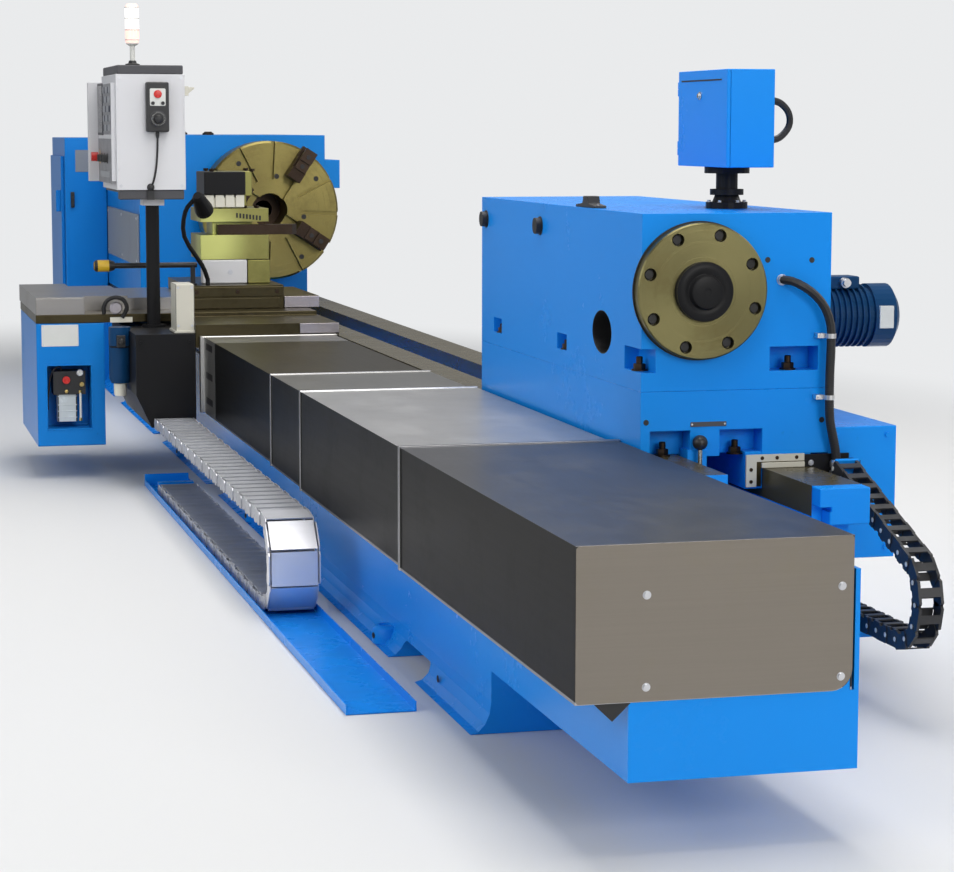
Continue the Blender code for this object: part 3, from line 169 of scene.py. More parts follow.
def makeWorld():
    # a soft dome for light, a plain tone in reflections, a pale backdrop for the camera
    sky = bpy.data.worlds.new("hall")
    bpy.context.scene.world = sky
    sky.use_nodes = True
    tree = sky.node_tree
    tree.nodes.clear()
    up = splitOf(tree, coordsOf(tree, "Generated"))["Z"]
    height = addNode(tree, "ShaderNodeMapRange", {"Value": up, "From Min": -1.0})
    ramp = addNode(tree, "ShaderNodeValToRGB", [height.outputs[0]])
    ramp.color_ramp.elements.new(0.5)
    for stop, (place, color) in zip(ramp.color_ramp.elements, world["ramp"]):
        stop.position = place
        stop.color = (*color, 1)
    around = addNode(tree, "ShaderNodeBackground", {"Color": ramp.outputs[0], "Strength": world["strength"]})
    mirrored = addNode(tree, "ShaderNodeBackground", {"Color": (*world["mirrored"], 1)})
    seen = addNode(tree, "ShaderNodeBackground", {"Color": (*world["backdrop"], 1)})
    ray = addNode(tree, "ShaderNodeLightPath").outputs
    glossy = math2(tree, "MAXIMUM", ray["Is Glossy Ray"], ray["Is Transmission Ray"])
    reflected = addNode(tree, "ShaderNodeMixShader", [glossy, around.outputs[0], mirrored.outputs[0]])
    mixed = addNode(tree, "ShaderNodeMixShader",
                    [ray["Is Camera Ray"], reflected.outputs[0], seen.outputs[0]])
    addNode(tree, "ShaderNodeOutputWorld", [mixed.outputs[0]])


makeCamera()
makeLights()
makeWorld()
bpy.context.scene.view_settings.view_transform = "Standard"
print("camera and lights")


# shader groups shared by the finishes

spindleAxis = (0.0, 0.52, 1.19)
farAway = 99.0  # past every piece


def newGroup(name, ins, *outs):
    tree = bpy.data.node_groups.new(name, "ShaderNodeTree")
    for label, value in ins.items():
        kind = "NodeSocketVector" if isinstance(value, tuple) else "NodeSocketFloat"
        socket = tree.interface.new_socket(label, in_out="INPUT", socket_type=kind)
        socket.default_value = value
    for label in outs:
        tree.interface.new_socket(label, in_out="OUTPUT", socket_type="NodeSocketFloat")
    return tree, tree.nodes.new("NodeGroupInput").outputs, tree.nodes.new("NodeGroupOutput")


def blotchGroup():
    # cloudy stains: a broad noise broken up by a fine one
    tree, given, result = newGroup("blotches", {"Scale": 3.0, "Cover": 0.5}, "Mask")
    broad = noiseOf(tree, given["Scale"], 4.0)
    fine = noiseOf(tree, times(tree, given["Scale"], 7.0), 6.0, 0.7)
    mixed = plus(tree, times(tree, broad, 0.65), times(tree, fine, 0.35))
    edge = math2(tree, "SUBTRACT", 0.72, times(tree, given["Cover"], 0.45))
    feed(tree, result, [ramped(tree, mixed, edge, 6.0)])
    return tree


def grainGroup():
    # fine lines from grinding or brushing, long along one axis
    tree, given, result = newGroup("brushedGrain", {"Stretch": (4.0, 300.0, 300.0)}, "Lines")
    place = vectorMath(tree, "MULTIPLY", coordsOf(tree), given["Stretch"])[0]
    noise = addNode(tree, "ShaderNodeTexNoise", {"Vector": place, "Scale": 1.0, "Detail": 3.0})
    feed(tree, result, [noise.outputs["Fac"]])
    return tree


def turnedGroup():
    # rings left by a cutting tool round the X axis through a centre, and a painted fan of light on them
    tree, given, result = newGroup("turnedRings", {"Centre": spindleAxis, "Rings": 900.0}, "Lines", "LightFan")
    away = vectorMath(tree, "SUBTRACT", coordsOf(tree), given["Centre"])[0]
    flat = vectorMath(tree, "MULTIPLY", away, (0, 1, 1))[0]
    radius = times(tree, vectorMath(tree, "LENGTH", flat)["Value"], given["Rings"])
    noise = addNode(tree, "ShaderNodeTexNoise", {"W": radius, "Scale": 1.0, "Detail": 4.0},
                    noise_dimensions="1D")
    across = splitOf(tree, flat)
    angle = plus(tree, math2(tree, "ARCTAN2", across["Z"], across["Y"]), -0.7)
    fan = math2(tree, "COSINE", times(tree, angle, 2.0))
    feed(tree, result, [noise.outputs["Fac"], plus(tree, times(tree, fan, 0.5), 0.5)])
    return tree


def dustGroup():
    # dust and oil that settle on faces that look up
    tree, given, result = newGroup("settledDust", {"Amount": 0.4, "Scale": 9.0}, "Mask")
    up = ramped(tree, splitOf(tree, coordsOf(tree, "Normal"))["Z"], 0.5, 2.0)
    patch = ramped(tree, noiseOf(tree, given["Scale"], 7.0), 0.38, 3.0)
    feed(tree, result, [times(tree, times(tree, up, patch), given["Amount"])])
    return tree


def zoneGroup():
    # 1 inside a box of object coordinates, 0 outside
    tree, given, result = newGroup("zone", {"Low": (-farAway,) * 3, "High": (farAway,) * 3}, "Mask")
    place, low, high = [splitOf(tree, vector) for vector in (coordsOf(tree), given["Low"], given["High"])]
    inside = [times(tree, math2(tree, "GREATER_THAN", at, start), math2(tree, "LESS_THAN", at, end))
              for at, start, end in zip(place, low, high)]
    feed(tree, result, [times(tree, times(tree, inside[0], inside[1]), inside[2])])
    return tree


def wearGroup():
    # rubbed spots and short scratches, with a broad noise deciding where they lie
    tree, given, result = newGroup("wear", {"Scale": 30.0, "Amount": 0.3}, "Mask")
    area = ramped(tree, noiseOf(tree, 1.7), 0.42, 4.0)
    fleck = ramped(tree, noiseOf(tree, given["Scale"], 9.0, 0.75), 0.62, 12.0)
    feed(tree, result, [times(tree, times(tree, area, fleck), given["Amount"])])
    return tree


groups = {
    "blotches": blotchGroup(), "grain": grainGroup(), "turned": turnedGroup(), "dust": dustGroup(),
    "zone": zoneGroup(), "wear": wearGroup(),
}


def useGroup(tree, name, **values):
    return addNode(tree, "ShaderNodeGroup", values, node_tree=groups[name]).outputs


# kinds of finish

def mixColor(tree, factor, a, b):
    a, b = [(*c, 1.0) if isinstance(c, tuple) else c for c in (a, b)]
    return addNode(tree, "ShaderNodeMix", {0: factor, 6: a, 7: b}, data_type="RGBA").outputs[2]


def scaled(tree, value, low, high):
    return addNode(tree, "ShaderNodeMapRange", {"Value": value, "To Min": low, "To Max": high}).outputs[0]


def tinted(color, factor, extra=0.0, top=1.0):
    return tuple(min(top, c * factor + extra) for c in color)


def zoneOf(x=(-farAway, farAway), y=(-farAway, farAway), z=(-farAway, farAway), paint=None):
    return (x[0], y[0], z[0]), (x[1], y[1], z[1]), paint


def paintZones(tree, base, zones):
    for low, high, paint in zones:
        base = mixColor(tree, useGroup(tree, "zone", Low=low, High=high)[0], base, paint)
    return base


def startMaterial(name):
    made = bpy.data.materials.new(name)
    made.use_nodes = True
    return made, made.node_tree, made.node_tree.nodes["Principled BSDF"]


def bumped(tree, shader, height, distance):
    bump = addNode(tree, "ShaderNodeBump", {"Distance": distance, "Strength": 1.0, "Height": height})
    feed(tree, shader, {"Normal": bump.outputs["Normal"]})


def enamel(name, color, roughness, stain, dust, zones=()):
    # sprayed paint: slight orange peel, cloudy stains, dust on top
    made, tree, shader = startMaterial(name)
    stains = useGroup(tree, "blotches", Scale=1.6, Cover=0.35)[0]
    settled = useGroup(tree, "dust", Amount=dust)[0]
    scuffs = useGroup(tree, "wear", Scale=26.0, Amount=0.35)[0]
    base = mixColor(tree, times(tree, stains, stain), color, tinted(color, 0.72))
    base = mixColor(tree, scuffs, base, tinted(color, 0.35))
    base = paintZones(tree, base, zones)
    base = mixColor(tree, settled, base, (0.05, 0.045, 0.04))
    rough = plus(tree, times(tree, stains, 0.10), plus(tree, times(tree, settled, 0.4), roughness))
    feed(tree, shader, {"Base Color": base, "Roughness": rough, "Specular IOR Level": 0.3, "IOR": 1.3})
    bumped(tree, shader, noiseOf(tree, 160.0), 0.00012)
    return made


def litPatch(tree, base, center, radius, shine):
    # a soft round spot of light, painted at a place
    away = vectorMath(tree, "DISTANCE", coordsOf(tree), center)["Value"]
    near = addNode(tree, "ShaderNodeMapRange", {"Value": away, "From Min": radius, "From Max": radius * 0.25},
                   interpolation_type="SMOOTHSTEP")
    return mixColor(tree, near.outputs[0], base, shine)


def sheetMetal(name, color, stretch, roughness=0.3, oil=0.3, oilColor=(0.25, 0.22, 0.10), dust=0.1,
               zones=(), metallic=1.0, edge=1.0, glow=None):
    # brushed or ground metal with smears; glow is a painted highlight, a lit patch: (centre, radius, colour)
    made, tree, shader = startMaterial(name)
    grain = useGroup(tree, "grain", Stretch=stretch)[0]
    smears = useGroup(tree, "blotches", Scale=3.4, Cover=0.5)[0]
    settled = useGroup(tree, "dust", Amount=dust)[0]
    base = mixColor(tree, grain, tinted(color, 0.94), tinted(color, 1.04))
    base = paintZones(tree, base, zones)
    base = mixColor(tree, times(tree, smears, oil), base, oilColor)
    if glow:
        base = litPatch(tree, base, *glow)
    base = mixColor(tree, settled, base, tinted(color, 1.6, 0.02, 0.2))
    rough = plus(tree, scaled(tree, grain, roughness - 0.02, roughness + 0.03), times(tree, smears, 0.04))
    feed(tree, shader, {"Base Color": base, "Roughness": rough, "Metallic": metallic,
                        "Specular Tint": (edge, edge, edge, 1)})
    bumped(tree, shader, grain, 0.00001)
    return made


def turnedMetal(name, color):
    # face-turned metal with fine rings and a painted highlight fan across them
    made, tree, shader = startMaterial(name)
    rings = useGroup(tree, "turned")
    smears = useGroup(tree, "blotches", Scale=7.0, Cover=0.45)[0]
    # painted highlight: darker away from the fan of light
    base = mixColor(tree, rings["LightFan"], tinted(color, 0.55), color)
    base = mixColor(tree, scaled(tree, rings["Lines"], 0.0, 0.5), base, tinted(color, 0.7))
    base = mixColor(tree, times(tree, smears, 0.5), base, (0.12, 0.09, 0.03))
    rough = scaled(tree, rings["Lines"], 0.22, 0.42)
    feed(tree, shader, {"Base Color": base, "Roughness": rough, "Metallic": 0.9})
    bumped(tree, shader, rings["Lines"], 0.0002)
    return made


def plastic(name, color, roughness=0.45, mottled=0.2, grainSize=900.0):
    # moulded plastic or rubber: fine texture and slightly uneven colour
    made, tree, shader = startMaterial(name)
    cloud = useGroup(tree, "blotches", Scale=12.0, Cover=0.5)[0]
    settled = useGroup(tree, "dust", Amount=0.25, Scale=14.0)[0]
    base = mixColor(tree, times(tree, cloud, mottled), color, tinted(color, 1.35, 0.01))
    base = mixColor(tree, settled, base, (0.22, 0.21, 0.2))
    rough = scaled(tree, cloud, roughness - 0.05, roughness + 0.1)
    feed(tree, shader, {"Base Color": base, "Roughness": rough})
    bumped(tree, shader, noiseOf(tree, grainSize), 0.00015)
    return made


# way covers: dark steel, tops painted paler as a painted reflection, paler lips, a pale wiper strip with
# slots on the innermost one

iron = (0.075, 0.062, 0.032)
coverLook = {
    "steel": (0.058, 0.057, 0.056), "lip": (0.46, 0.46, 0.47), "lipTop": 0.3725,
    # painted reflection: each cover's top face, from this height up, is painted paler than its dark sides
    "reflectedTops": {"cover1": (0.7290, (0.25, 0.25, 0.26)), "cover2": (0.7230, (0.78, 0.775, 0.77)),
             "cover3": (0.7170, (0.44, 0.435, 0.42)), "cover4": (0.7110, (0.17, 0.155, 0.125))},
    "lips": {"cover1": (7.47, 7.5025), "cover2": (5.79, 5.8225), "cover3": (5.10, 5.1325)},
    "strip": (3.0, 3.58), "stripColor": (0.56, 0.55, 0.53),
    "slots": (3.3, 3.5), "slotZ": (0.415, 0.53, 0.66), "slotHeight": 0.03, "slotColor": (0.10, 0.09, 0.10),
}


def coverFinish(name):
    look = coverLook
    # the top zone is a painted reflection on the cover's top face
    top, topReflection = look["reflectedTops"][name]
    zones = [zoneOf(z=(top, farAway), paint=topReflection), zoneOf(z=(0, look["lipTop"]), paint=look["lip"])]
    if name in look["lips"]:
        zones.append(zoneOf(x=look["lips"][name], paint=look["lip"]))
    else:
        zones.append(zoneOf(x=look["strip"], paint=look["stripColor"]))
        zones += [zoneOf(x=look["slots"], z=(z, z + look["slotHeight"]), paint=look["slotColor"])
                  for z in look["slotZ"]]
    return sheetMetal(f"{name}Steel", look["steel"], (1.6, 60.0, 60.0), roughness=0.31, oil=0.05,
                      oilColor=(0.12, 0.115, 0.10), zones=zones, edge=0.48)


signalLook = {
    "lamp": 2.055, "core": (2.12, 2.215), "strength": 1.3, "roughness": 0.22,
    "pole": (0.66, 0.66, 0.62),
    "warm": (1.0, 0.45, 0.38), "bright": (1.0, 0.93, 0.88), "blotch": (1.0, 0.6, 0.5),
}


def signalGlow():
    # plastic pole below, lit lamp above
    look = signalLook
    made, tree, shader = startMaterial("signalGlow")
    coreLow, coreHigh = look["core"]
    above = useGroup(tree, "zone", Low=(-farAway, -farAway, look["lamp"]), High=(farAway,) * 3)[0]
    middle = useGroup(tree, "zone", Low=(-farAway, -farAway, coreLow), High=(farAway, farAway, coreHigh))[0]
    cloud = useGroup(tree, "blotches", Scale=30.0, Cover=0.3)[0]
    lit = mixColor(tree, middle, look["warm"], look["bright"])
    lit = mixColor(tree, times(tree, cloud, 0.2), lit, look["blotch"])
    feed(tree, shader, {
        "Base Color": mixColor(tree, above, look["pole"], lit),
        "Emission Color": mixColor(tree, above, (0.0, 0.0, 0.0), lit),
        "Emission Strength": look["strength"], "Roughness": look["roughness"],
    })
    return made


blue = (0.0085, 0.268, 0.84)
wayTop = (0.5725, farAway)  # ground iron of the ways, from here up
enamels = {
    # finish: material, colour, roughness, stains, dust, zones
    "blue": ("blueEnamel", blue, 0.26, 0.16, 0.12),
    "bedBlue": ("bedEnamel", blue, 0.26, 0.16, 0.12, [zoneOf(x=(-farAway, 8.069), z=wayTop, paint=iron)]),
    "extensionBlue": ("extensionEnamel", blue, 0.26, 0.16, 0.12,
                      [zoneOf(y=(-farAway, 0.288), z=wayTop, paint=iron)]),
    # painted shade: a darker copy of the blue enamel for the far pieces that sit in shade
    "deepBlue": ("shadedEnamel", (0.0070, 0.200, 0.62), 0.3, 0.16, 0.12),
    "white": ("whiteEnamel", (0.66, 0.66, 0.68), 0.35, 0.10, 0.08),
    "cream": ("creamEnamel", (0.60, 0.58, 0.50), 0.4, 0.18, 0.15),
    "grey": ("greyEnamel", (0.24, 0.26, 0.29), 0.45, 0.2, 0.15),
    "slateGrey": ("slateGreyEnamel", (0.085, 0.085, 0.092), 0.42, 0.2, 0.1),
    "black": ("blackEnamel", (0.012, 0.012, 0.013), 0.38, 0.2, 0.12),
    "navy": ("navyEnamel", (0.006, 0.045, 0.125), 0.3, 0.2, 0.12),
}
plastics = {
    # finish: material, colour, roughness, mottling, grain
    "plastic": ("blackPlastic", (0.016, 0.016, 0.017)),
    "rubber": ("blackRubber", (0.011, 0.011, 0.012), 0.55),
    "chainPlastic": ("chainPlastic", (0.020, 0.020, 0.022), 0.5, 0.35),
    "keyGrey": ("keyGrey", (0.34, 0.35, 0.37), 0.5),
    "keyDark": ("keyDark", (0.03, 0.035, 0.06), 0.5),
    "panelSkin": ("panelSkin", (0.20, 0.20, 0.215), 0.4),
    "red": ("redPlastic", (0.55, 0.02, 0.015), 0.3),
    "yellow": ("yellowPlastic", (0.72, 0.46, 0.03), 0.4),
    "creamPlastic": ("creamPlastic", (0.72, 0.70, 0.60), 0.4),
    "tank": ("tankPlastic", (0.55, 0.60, 0.62), 0.2, 0.35, 300.0),
    "palePlate": ("barePlate", (0.66, 0.67, 0.64), 0.35, 0.1),
    "darkGlass": ("darkScreen", (0.01, 0.012, 0.016), 0.12, 0.05),
}
metals = {
    # finish: material, colour, stretch of the grain; the rest as in sheetMetal
    "cover": dict(name="crossCoverSteel", color=(0.36, 0.345, 0.33), stretch=(160.0, 4.0, 160.0), oil=0.12),
    "endPlate": dict(name="endPlateSteel", color=(0.24, 0.215, 0.185), stretch=(260.0, 3.0, 260.0),
                     roughness=0.38, oil=0.10),
    "lip": dict(name="lipSteel", color=(0.75, 0.75, 0.76), stretch=(200.0, 4.0, 200.0), oil=0.05),
    "oiled": dict(name="oiledIron", color=(0.075, 0.062, 0.033), stretch=(60.0, 200.0, 60.0),
                  roughness=0.34, oil=0.6, oilColor=(0.030, 0.024, 0.012)),
    # painted highlight: the glow is a lit patch on the tool head's left side
    "brassy": dict(name="oiledBrightIron", color=(0.27, 0.255, 0.085), stretch=(60.0, 120.0, 60.0),
                   roughness=0.4, oil=0.35, oilColor=(0.12, 0.10, 0.03),
                   glow=((2.37, -0.15, 1.11), 0.24, (0.62, 0.64, 0.22))),
    "lilacSteel": dict(name="groundLilacSteel", color=(0.42, 0.39, 0.42), stretch=(60.0, 120.0, 60.0),
                       roughness=0.4, oil=0.2),
    "zinc": dict(name="zincSteel", color=(0.62, 0.63, 0.66), stretch=(90.0, 6.0, 90.0),
                 roughness=0.34, oil=0.10),
    # painted highlight: the glow is a lit patch on the front of the steel chain's bend
    "chainZinc": dict(name="chainZinc", color=(0.50, 0.51, 0.55), stretch=(90.0, 12.0, 90.0),
                      roughness=0.42, oil=0.2, oilColor=(0.18, 0.17, 0.15), dust=0.2, metallic=0.55,
                      glow=((6.345, -0.445, 0.165), 0.21, (0.95, 0.94, 0.97))),
    "bright": dict(name="groundSteel", color=(0.62, 0.61, 0.57), stretch=(200.0, 20.0, 20.0),
                   roughness=0.25, oil=0.15),
    "brass": dict(name="brass", color=(0.62, 0.45, 0.16), stretch=(90.0, 60.0, 90.0), oil=0.2),
    "darkSteel": dict(name="darkSteel", color=(0.055, 0.038, 0.028), stretch=(60.0, 60.0, 60.0),
                      roughness=0.42, oil=0.5, oilColor=(0.025, 0.018, 0.010)),
}
turnings = {"flange": ("turnedFlange", (0.24, 0.215, 0.095)), "chuck": ("turnedChuck", (0.29, 0.24, 0.08))}

finishes = {key: enamel(*row) for key, row in enamels.items()}
finishes.update({key: plastic(*row) for key, row in plastics.items()})
finishes.update({key: sheetMetal(**row) for key, row in metals.items()})
finishes.update({key: turnedMetal(*row) for key, row in turnings.items()})
finishes.update({key: coverFinish(key) for key in coverLook["reflectedTops"]})
finishes["signal"] = signalGlow()
print("finishes")


# mesh helpers

def addLoft(bm, rings, closed=False):
    loops = [[bm.verts.new(p) for p in ring] for ring in rings]
    count = len(loops[0])
    pairs = list(zip(loops, loops[1:]))
    if closed:
        pairs.append((loops[-1], loops[0]))
    for first, second in pairs:
        for i in range(count):
            j = (i + 1) % count
            bm.faces.new((first[i], first[j], second[j], second[i]))
    if not closed:
        bm.faces.new(list(reversed(loops[0])))
        bm.faces.new(loops[-1])


def addBlock(bm, low, high):
    (x0, y0, z0), (x1, y1, z1) = low, high
    addLoft(bm, [[(x0, y0, z), (x1, y0, z), (x1, y1, z), (x0, y1, z)] for z in (z0, z1)])


def ringOf(center, axis, radius, sides):
    first, second = {"X": (1, 2), "Y": (2, 0), "Z": (0, 1)}[axis]
    points = []
    for i in range(sides):
        angle = 2 * math.pi * i / sides
        point = list(center)
        point[first] += radius * math.cos(angle)
        point[second] += radius * math.sin(angle)
        points.append(tuple(point))
    return points


def addTurned(bm, profile, center, axis, sides, hollow=False):
    # profile holds (distance along the axis, radius) pairs
    index = "XYZ".index(axis)
    rings = []
    for along, radius in profile:
        at = list(center)
        at[index] += along
        rings.append(ringOf(at, axis, radius, sides))
    addLoft(bm, rings, hollow)


def addPrism(bm, outline, axis, start, end):
    index = "XYZ".index(axis)
    rings = []
    for along in (start, end):
        rings.append([tuple(p[:index]) + (along,) + tuple(p[index:]) for p in outline])
    addLoft(bm, rings)


def roundedOutline(low, high, radius, steps=5):
    (a0, b0), (a1, b1) = low, high
    points = []
    for ca, cb, start in ((a1 - radius, b1 - radius, 0), (a0 + radius, b1 - radius, 90),
                          (a0 + radius, b0 + radius, 180), (a1 - radius, b0 + radius, 270)):
        for i in range(steps + 1):
            angle = math.radians(start + 90 * i / steps)
            points.append((ca + radius * math.cos(angle), cb + radius * math.sin(angle)))
    return points


def circlePoints(center, radius, count, start=0.0):
    angles = [2 * math.pi * i / count + start for i in range(count)]
    return [(center[0] + radius * math.cos(a), center[1] + radius * math.sin(a)) for a in angles]


def smoothRoute(points, steps=6):
    places = [Vector(p) for p in points]
    places = [2 * places[0] - places[1]] + places + [2 * places[-1] - places[-2]]
    route = []
    for a, b, c, d in zip(places, places[1:], places[2:], places[3:]):
        for step in range(steps):
            t = step / steps
            route.append(0.5 * (2 * b + (c - a) * t + (2 * a - 5 * b + 4 * c - d) * t * t
                                + (3 * b - a - 3 * c + d) * t ** 3))
    route.append(places[-2])
    return route


def addTube(bm, route, radius, sides):
    places = [Vector(p) for p in route]
    rings = []
    side = None
    for i, place in enumerate(places):
        ahead = (places[min(i + 1, len(places) - 1)] - places[max(i - 1, 0)]).normalized()
        if side is None:
            helper = Vector((0, 0, 1)) if abs(ahead.z) < 0.9 else Vector((1, 0, 0))
            side = ahead.cross(helper).normalized()
        side = (side - side.dot(ahead) * ahead).normalized()
        other = ahead.cross(side)
        rings.append([tuple(place + radius * (math.cos(a) * side + math.sin(a) * other))
                      for a in (2 * math.pi * k / sides for k in range(sides))])
    addLoft(bm, rings)


def roundEdges(thing, radius):
    rounded = thing.modifiers.new("rounded", "BEVEL")
    rounded.width = radius
    rounded.segments = 2
    rounded.limit_method = "ANGLE"
    rounded.angle_limit = math.radians(40)
    rounded.harden_normals = True


def linkPiece(name, mesh, body, sharp):
    # a mesh becomes a piece at the origin that rides on a body
    mesh.shade_smooth()
    mesh.set_sharp_from_angle(angle=math.radians(sharp))
    piece = bpy.data.objects.new(name, mesh)
    bpy.context.scene.collection.objects.link(piece)
    if body:
        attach(piece, body)
    return piece


sharpEdges = {
    # degrees from which an edge stays sharp, for round pieces that want another angle
    "flangeHubCap": 28, "clampLeverBall": 60, "hoseLowerFitting": 30, "footBosses": 50, "coolantPipeCap": 25,
    "feedServoSleeve": 30, "usual": 35,
}


def finishPiece(name, bm, finish, body=None, edge=0.0):
    bmesh.ops.remove_doubles(bm, verts=bm.verts, dist=0.000005)
    bmesh.ops.recalc_face_normals(bm, faces=bm.faces)
    mesh = bpy.data.meshes.new(name)
    bm.to_mesh(mesh)
    bm.free()
    mesh.materials.append(finishes[finish])
    piece = linkPiece(name, mesh, body, sharpEdges.get(name, sharpEdges["usual"]))
    if edge:
        roundEdges(piece, edge)
    return piece


def makeSolids(solids):
    # body: piece: finish, edge radius, then the shapes, each a function and its values
    for body, rows in solids.items():
        for name, (finish, edge, *shapes) in rows.items():
            bm = bmesh.new()
            for add, *values in shapes:
                add(bm, *values)
            finishPiece(name, bm, finish, body, edge)


# node trees: heads on points, a template on points, ribs along a route

def geometryTree(name, inputs):
    tree = bpy.data.node_groups.new(name, "GeometryNodeTree")
    tree.interface.new_socket("Geometry", in_out="OUTPUT", socket_type="NodeSocketGeometry")
    for label, kind in {"Geometry": "Geometry", **inputs, "Finish": "Material"}.items():
        tree.interface.new_socket(label, in_out="INPUT", socket_type=f"NodeSocket{kind}")
    return tree, tree.nodes.new("NodeGroupInput").outputs, tree.nodes.new("NodeGroupOutput")


def closeTree(tree, given, result, geometry):
    real = addNode(tree, "GeometryNodeRealizeInstances", [geometry])
    paint = addNode(tree, "GeometryNodeSetMaterial",
                    {"Geometry": real.outputs[0], "Material": given["Finish"]})
    feed(tree, result, [paint.outputs[0]])
    return tree


def joined(tree, *geometries):
    made = tree.nodes.new("GeometryNodeJoinGeometry")
    for geometry in geometries:
        tree.links.new(geometry, made.inputs[0])
    return made.outputs[0]


def onPoints(tree, points, instance, rotation, size=None):
    inputs = {"Points": points, "Instance": instance, "Rotation": rotation, "Scale": size}
    return addNode(tree, "GeometryNodeInstanceOnPoints", inputs).outputs[0]


def facingRotation(tree):
    # turns +Z to the point's "facing" and +X to its "across"
    facing, across = [
        addNode(tree, "GeometryNodeInputNamedAttribute", {"Name": label}, data_type="FLOAT_VECTOR")
        .outputs["Attribute"] for label in ("facing", "across")]
    first = addNode(tree, "FunctionNodeAlignRotationToVector", {"Vector": facing}, axis="Z")
    second = addNode(tree, "FunctionNodeAlignRotationToVector",
                     {"Rotation": first.outputs["Rotation"], "Vector": across}, axis="X", pivot_axis="Z")
    return second.outputs["Rotation"]


def fastenerTree():
    # a head of any number of sides on a round washer
    tree, given, result = geometryTree("fastenerHeads", {
        "Head Radius": "Float", "Head Height": "Float", "Sides": "Int", "Washer Radius": "Float"})
    head = addNode(tree, "GeometryNodeMeshCylinder", {
        "Vertices": given["Sides"], "Radius": given["Head Radius"], "Depth": given["Head Height"]})
    rise = addNode(tree, "ShaderNodeCombineXYZ", {"Z": times(tree, given["Head Height"], 0.65)})
    lifted = addNode(tree, "GeometryNodeTransform",
                     {"Geometry": head.outputs["Mesh"], "Translation": rise.outputs[0]})
    washer = addNode(tree, "GeometryNodeMeshCylinder", {
        "Vertices": 20, "Radius": given["Washer Radius"], "Depth": times(tree, given["Head Height"], 0.36)})
    both = joined(tree, lifted.outputs[0], washer.outputs["Mesh"])
    return closeTree(tree, given, result, onPoints(tree, given["Geometry"], both, facingRotation(tree)))


def templateTree():
    tree, given, result = geometryTree("templateOnPoints", {"Template": "Object"})
    template = addNode(tree, "GeometryNodeObjectInfo", {"Object": given["Template"]})
    placed = onPoints(tree, given["Geometry"], template.outputs["Geometry"], facingRotation(tree))
    return closeTree(tree, given, result, placed)


def ribTree():
    # a round hose along a line, with ribs at even distances
    tree, given, result = geometryTree("ribbedHose", {
        "Spacing": "Float", "Core Radius": "Float", "Rib Radius": "Float"})
    line = addNode(tree, "GeometryNodeMeshToCurve", {"Mesh": given["Geometry"]}).outputs[0]
    evenly = addNode(tree, "GeometryNodeCurveToPoints", {"Curve": line, "Length": given["Spacing"]},
                     mode="LENGTH")
    ring, wire = [addNode(tree, "GeometryNodeCurvePrimitiveCircle", {
        "Resolution": points, "Radius": given[label]}).outputs[0]
        for points, label in ((14, "Core Radius"), (5, "Rib Radius"))]
    rib = addNode(tree, "GeometryNodeCurveToMesh", {"Curve": ring, "Profile Curve": wire}).outputs[0]
    core = addNode(tree, "GeometryNodeCurveToMesh", {"Curve": line, "Profile Curve": ring, "Fill Caps": True})
    placed = onPoints(tree, evenly.outputs["Points"], rib, evenly.outputs["Rotation"])
    return closeTree(tree, given, result, joined(tree, placed, core.outputs[0]))


trees = {"heads": fastenerTree(), "template": templateTree(), "ribs": ribTree()}


def runTree(name, treeName, mesh, values, body):
    # evaluates a tree on helper geometry and keeps the result as a plain mesh
    helper = bpy.data.objects.new(f"{name}Helper", mesh)
    bpy.context.scene.collection.objects.link(helper)
    modifier = helper.modifiers.new("nodes", "NODES")
    modifier.node_group = trees[treeName]
    sockets = {s.name: s.identifier for s in trees[treeName].interface.items_tree if s.in_out == "INPUT"}
    for label, value in values.items():
        modifier[sockets[label]] = value
    bpy.context.view_layer.update()
    graph = bpy.context.evaluated_depsgraph_get()
    result = bpy.data.meshes.new_from_object(helper.evaluated_get(graph), depsgraph=graph)
    result.name = name
    helper.modifiers.remove(modifier)
    bpy.data.objects.remove(helper, do_unlink=True)
    tidy = bmesh.new()
    tidy.from_mesh(result)
    bmesh.ops.recalc_face_normals(tidy, faces=tidy.faces)
    tidy.to_mesh(result)
    tidy.free()
    for attribute in [a.name for a in result.attributes if a.name in ("facing", "across")]:
        result.attributes.remove(result.attributes[attribute])
    return linkPiece(name, result, body, sharpEdges["usual"])


def pointMesh(name, places):
    # places holds (point, facing, across)
    mesh = bpy.data.meshes.new(name)
    mesh.from_pydata([tuple(p) for p, _, _ in places], [], [])
    for label, index in (("facing", 1), ("across", 2)):
        data = mesh.attributes.new(label, "FLOAT_VECTOR", "POINT")
        data.data.foreach_set("vector", [c for place in places for c in place[index]])
    return mesh


def onFace(side, level, points):
    # places on a flat face: near looks to +X, left to -Y, up to +Z
    if side == "near":
        return [((level, y, z), (1, 0, 0), (0, 1, 0)) for y, z in points]
    if side == "left":
        return [((x, level, z), (0, -1, 0), (1, 0, 0)) for x, z in points]
    return [((x, y, level), (0, 0, 1), (1, 0, 0)) for x, y in points]


def heads(name, places, radius, height, finish, body, sides=6, washer=None):
    values = {"Head Radius": radius, "Head Height": height, "Sides": sides,
              "Washer Radius": washer or radius * 1.35, "Finish": finishes[finish]}
    return runTree(name, "heads", pointMesh(name, places), values, body)


def makeHeads(rows):
    # body: piece: side, level, points, head radius, head height, finish, sides, washer radius
    for body, pieces in rows.items():
        for name, (side, level, points, radius, height, finish, *rest) in pieces.items():
            heads(name, onFace(side, level, points), radius, height, finish, body, *rest)


def templateRow(name, template, places, finish, body):
    values = {"Template": template, "Finish": finishes[finish]}
    return runTree(name, "template", pointMesh(name, places), values, body)


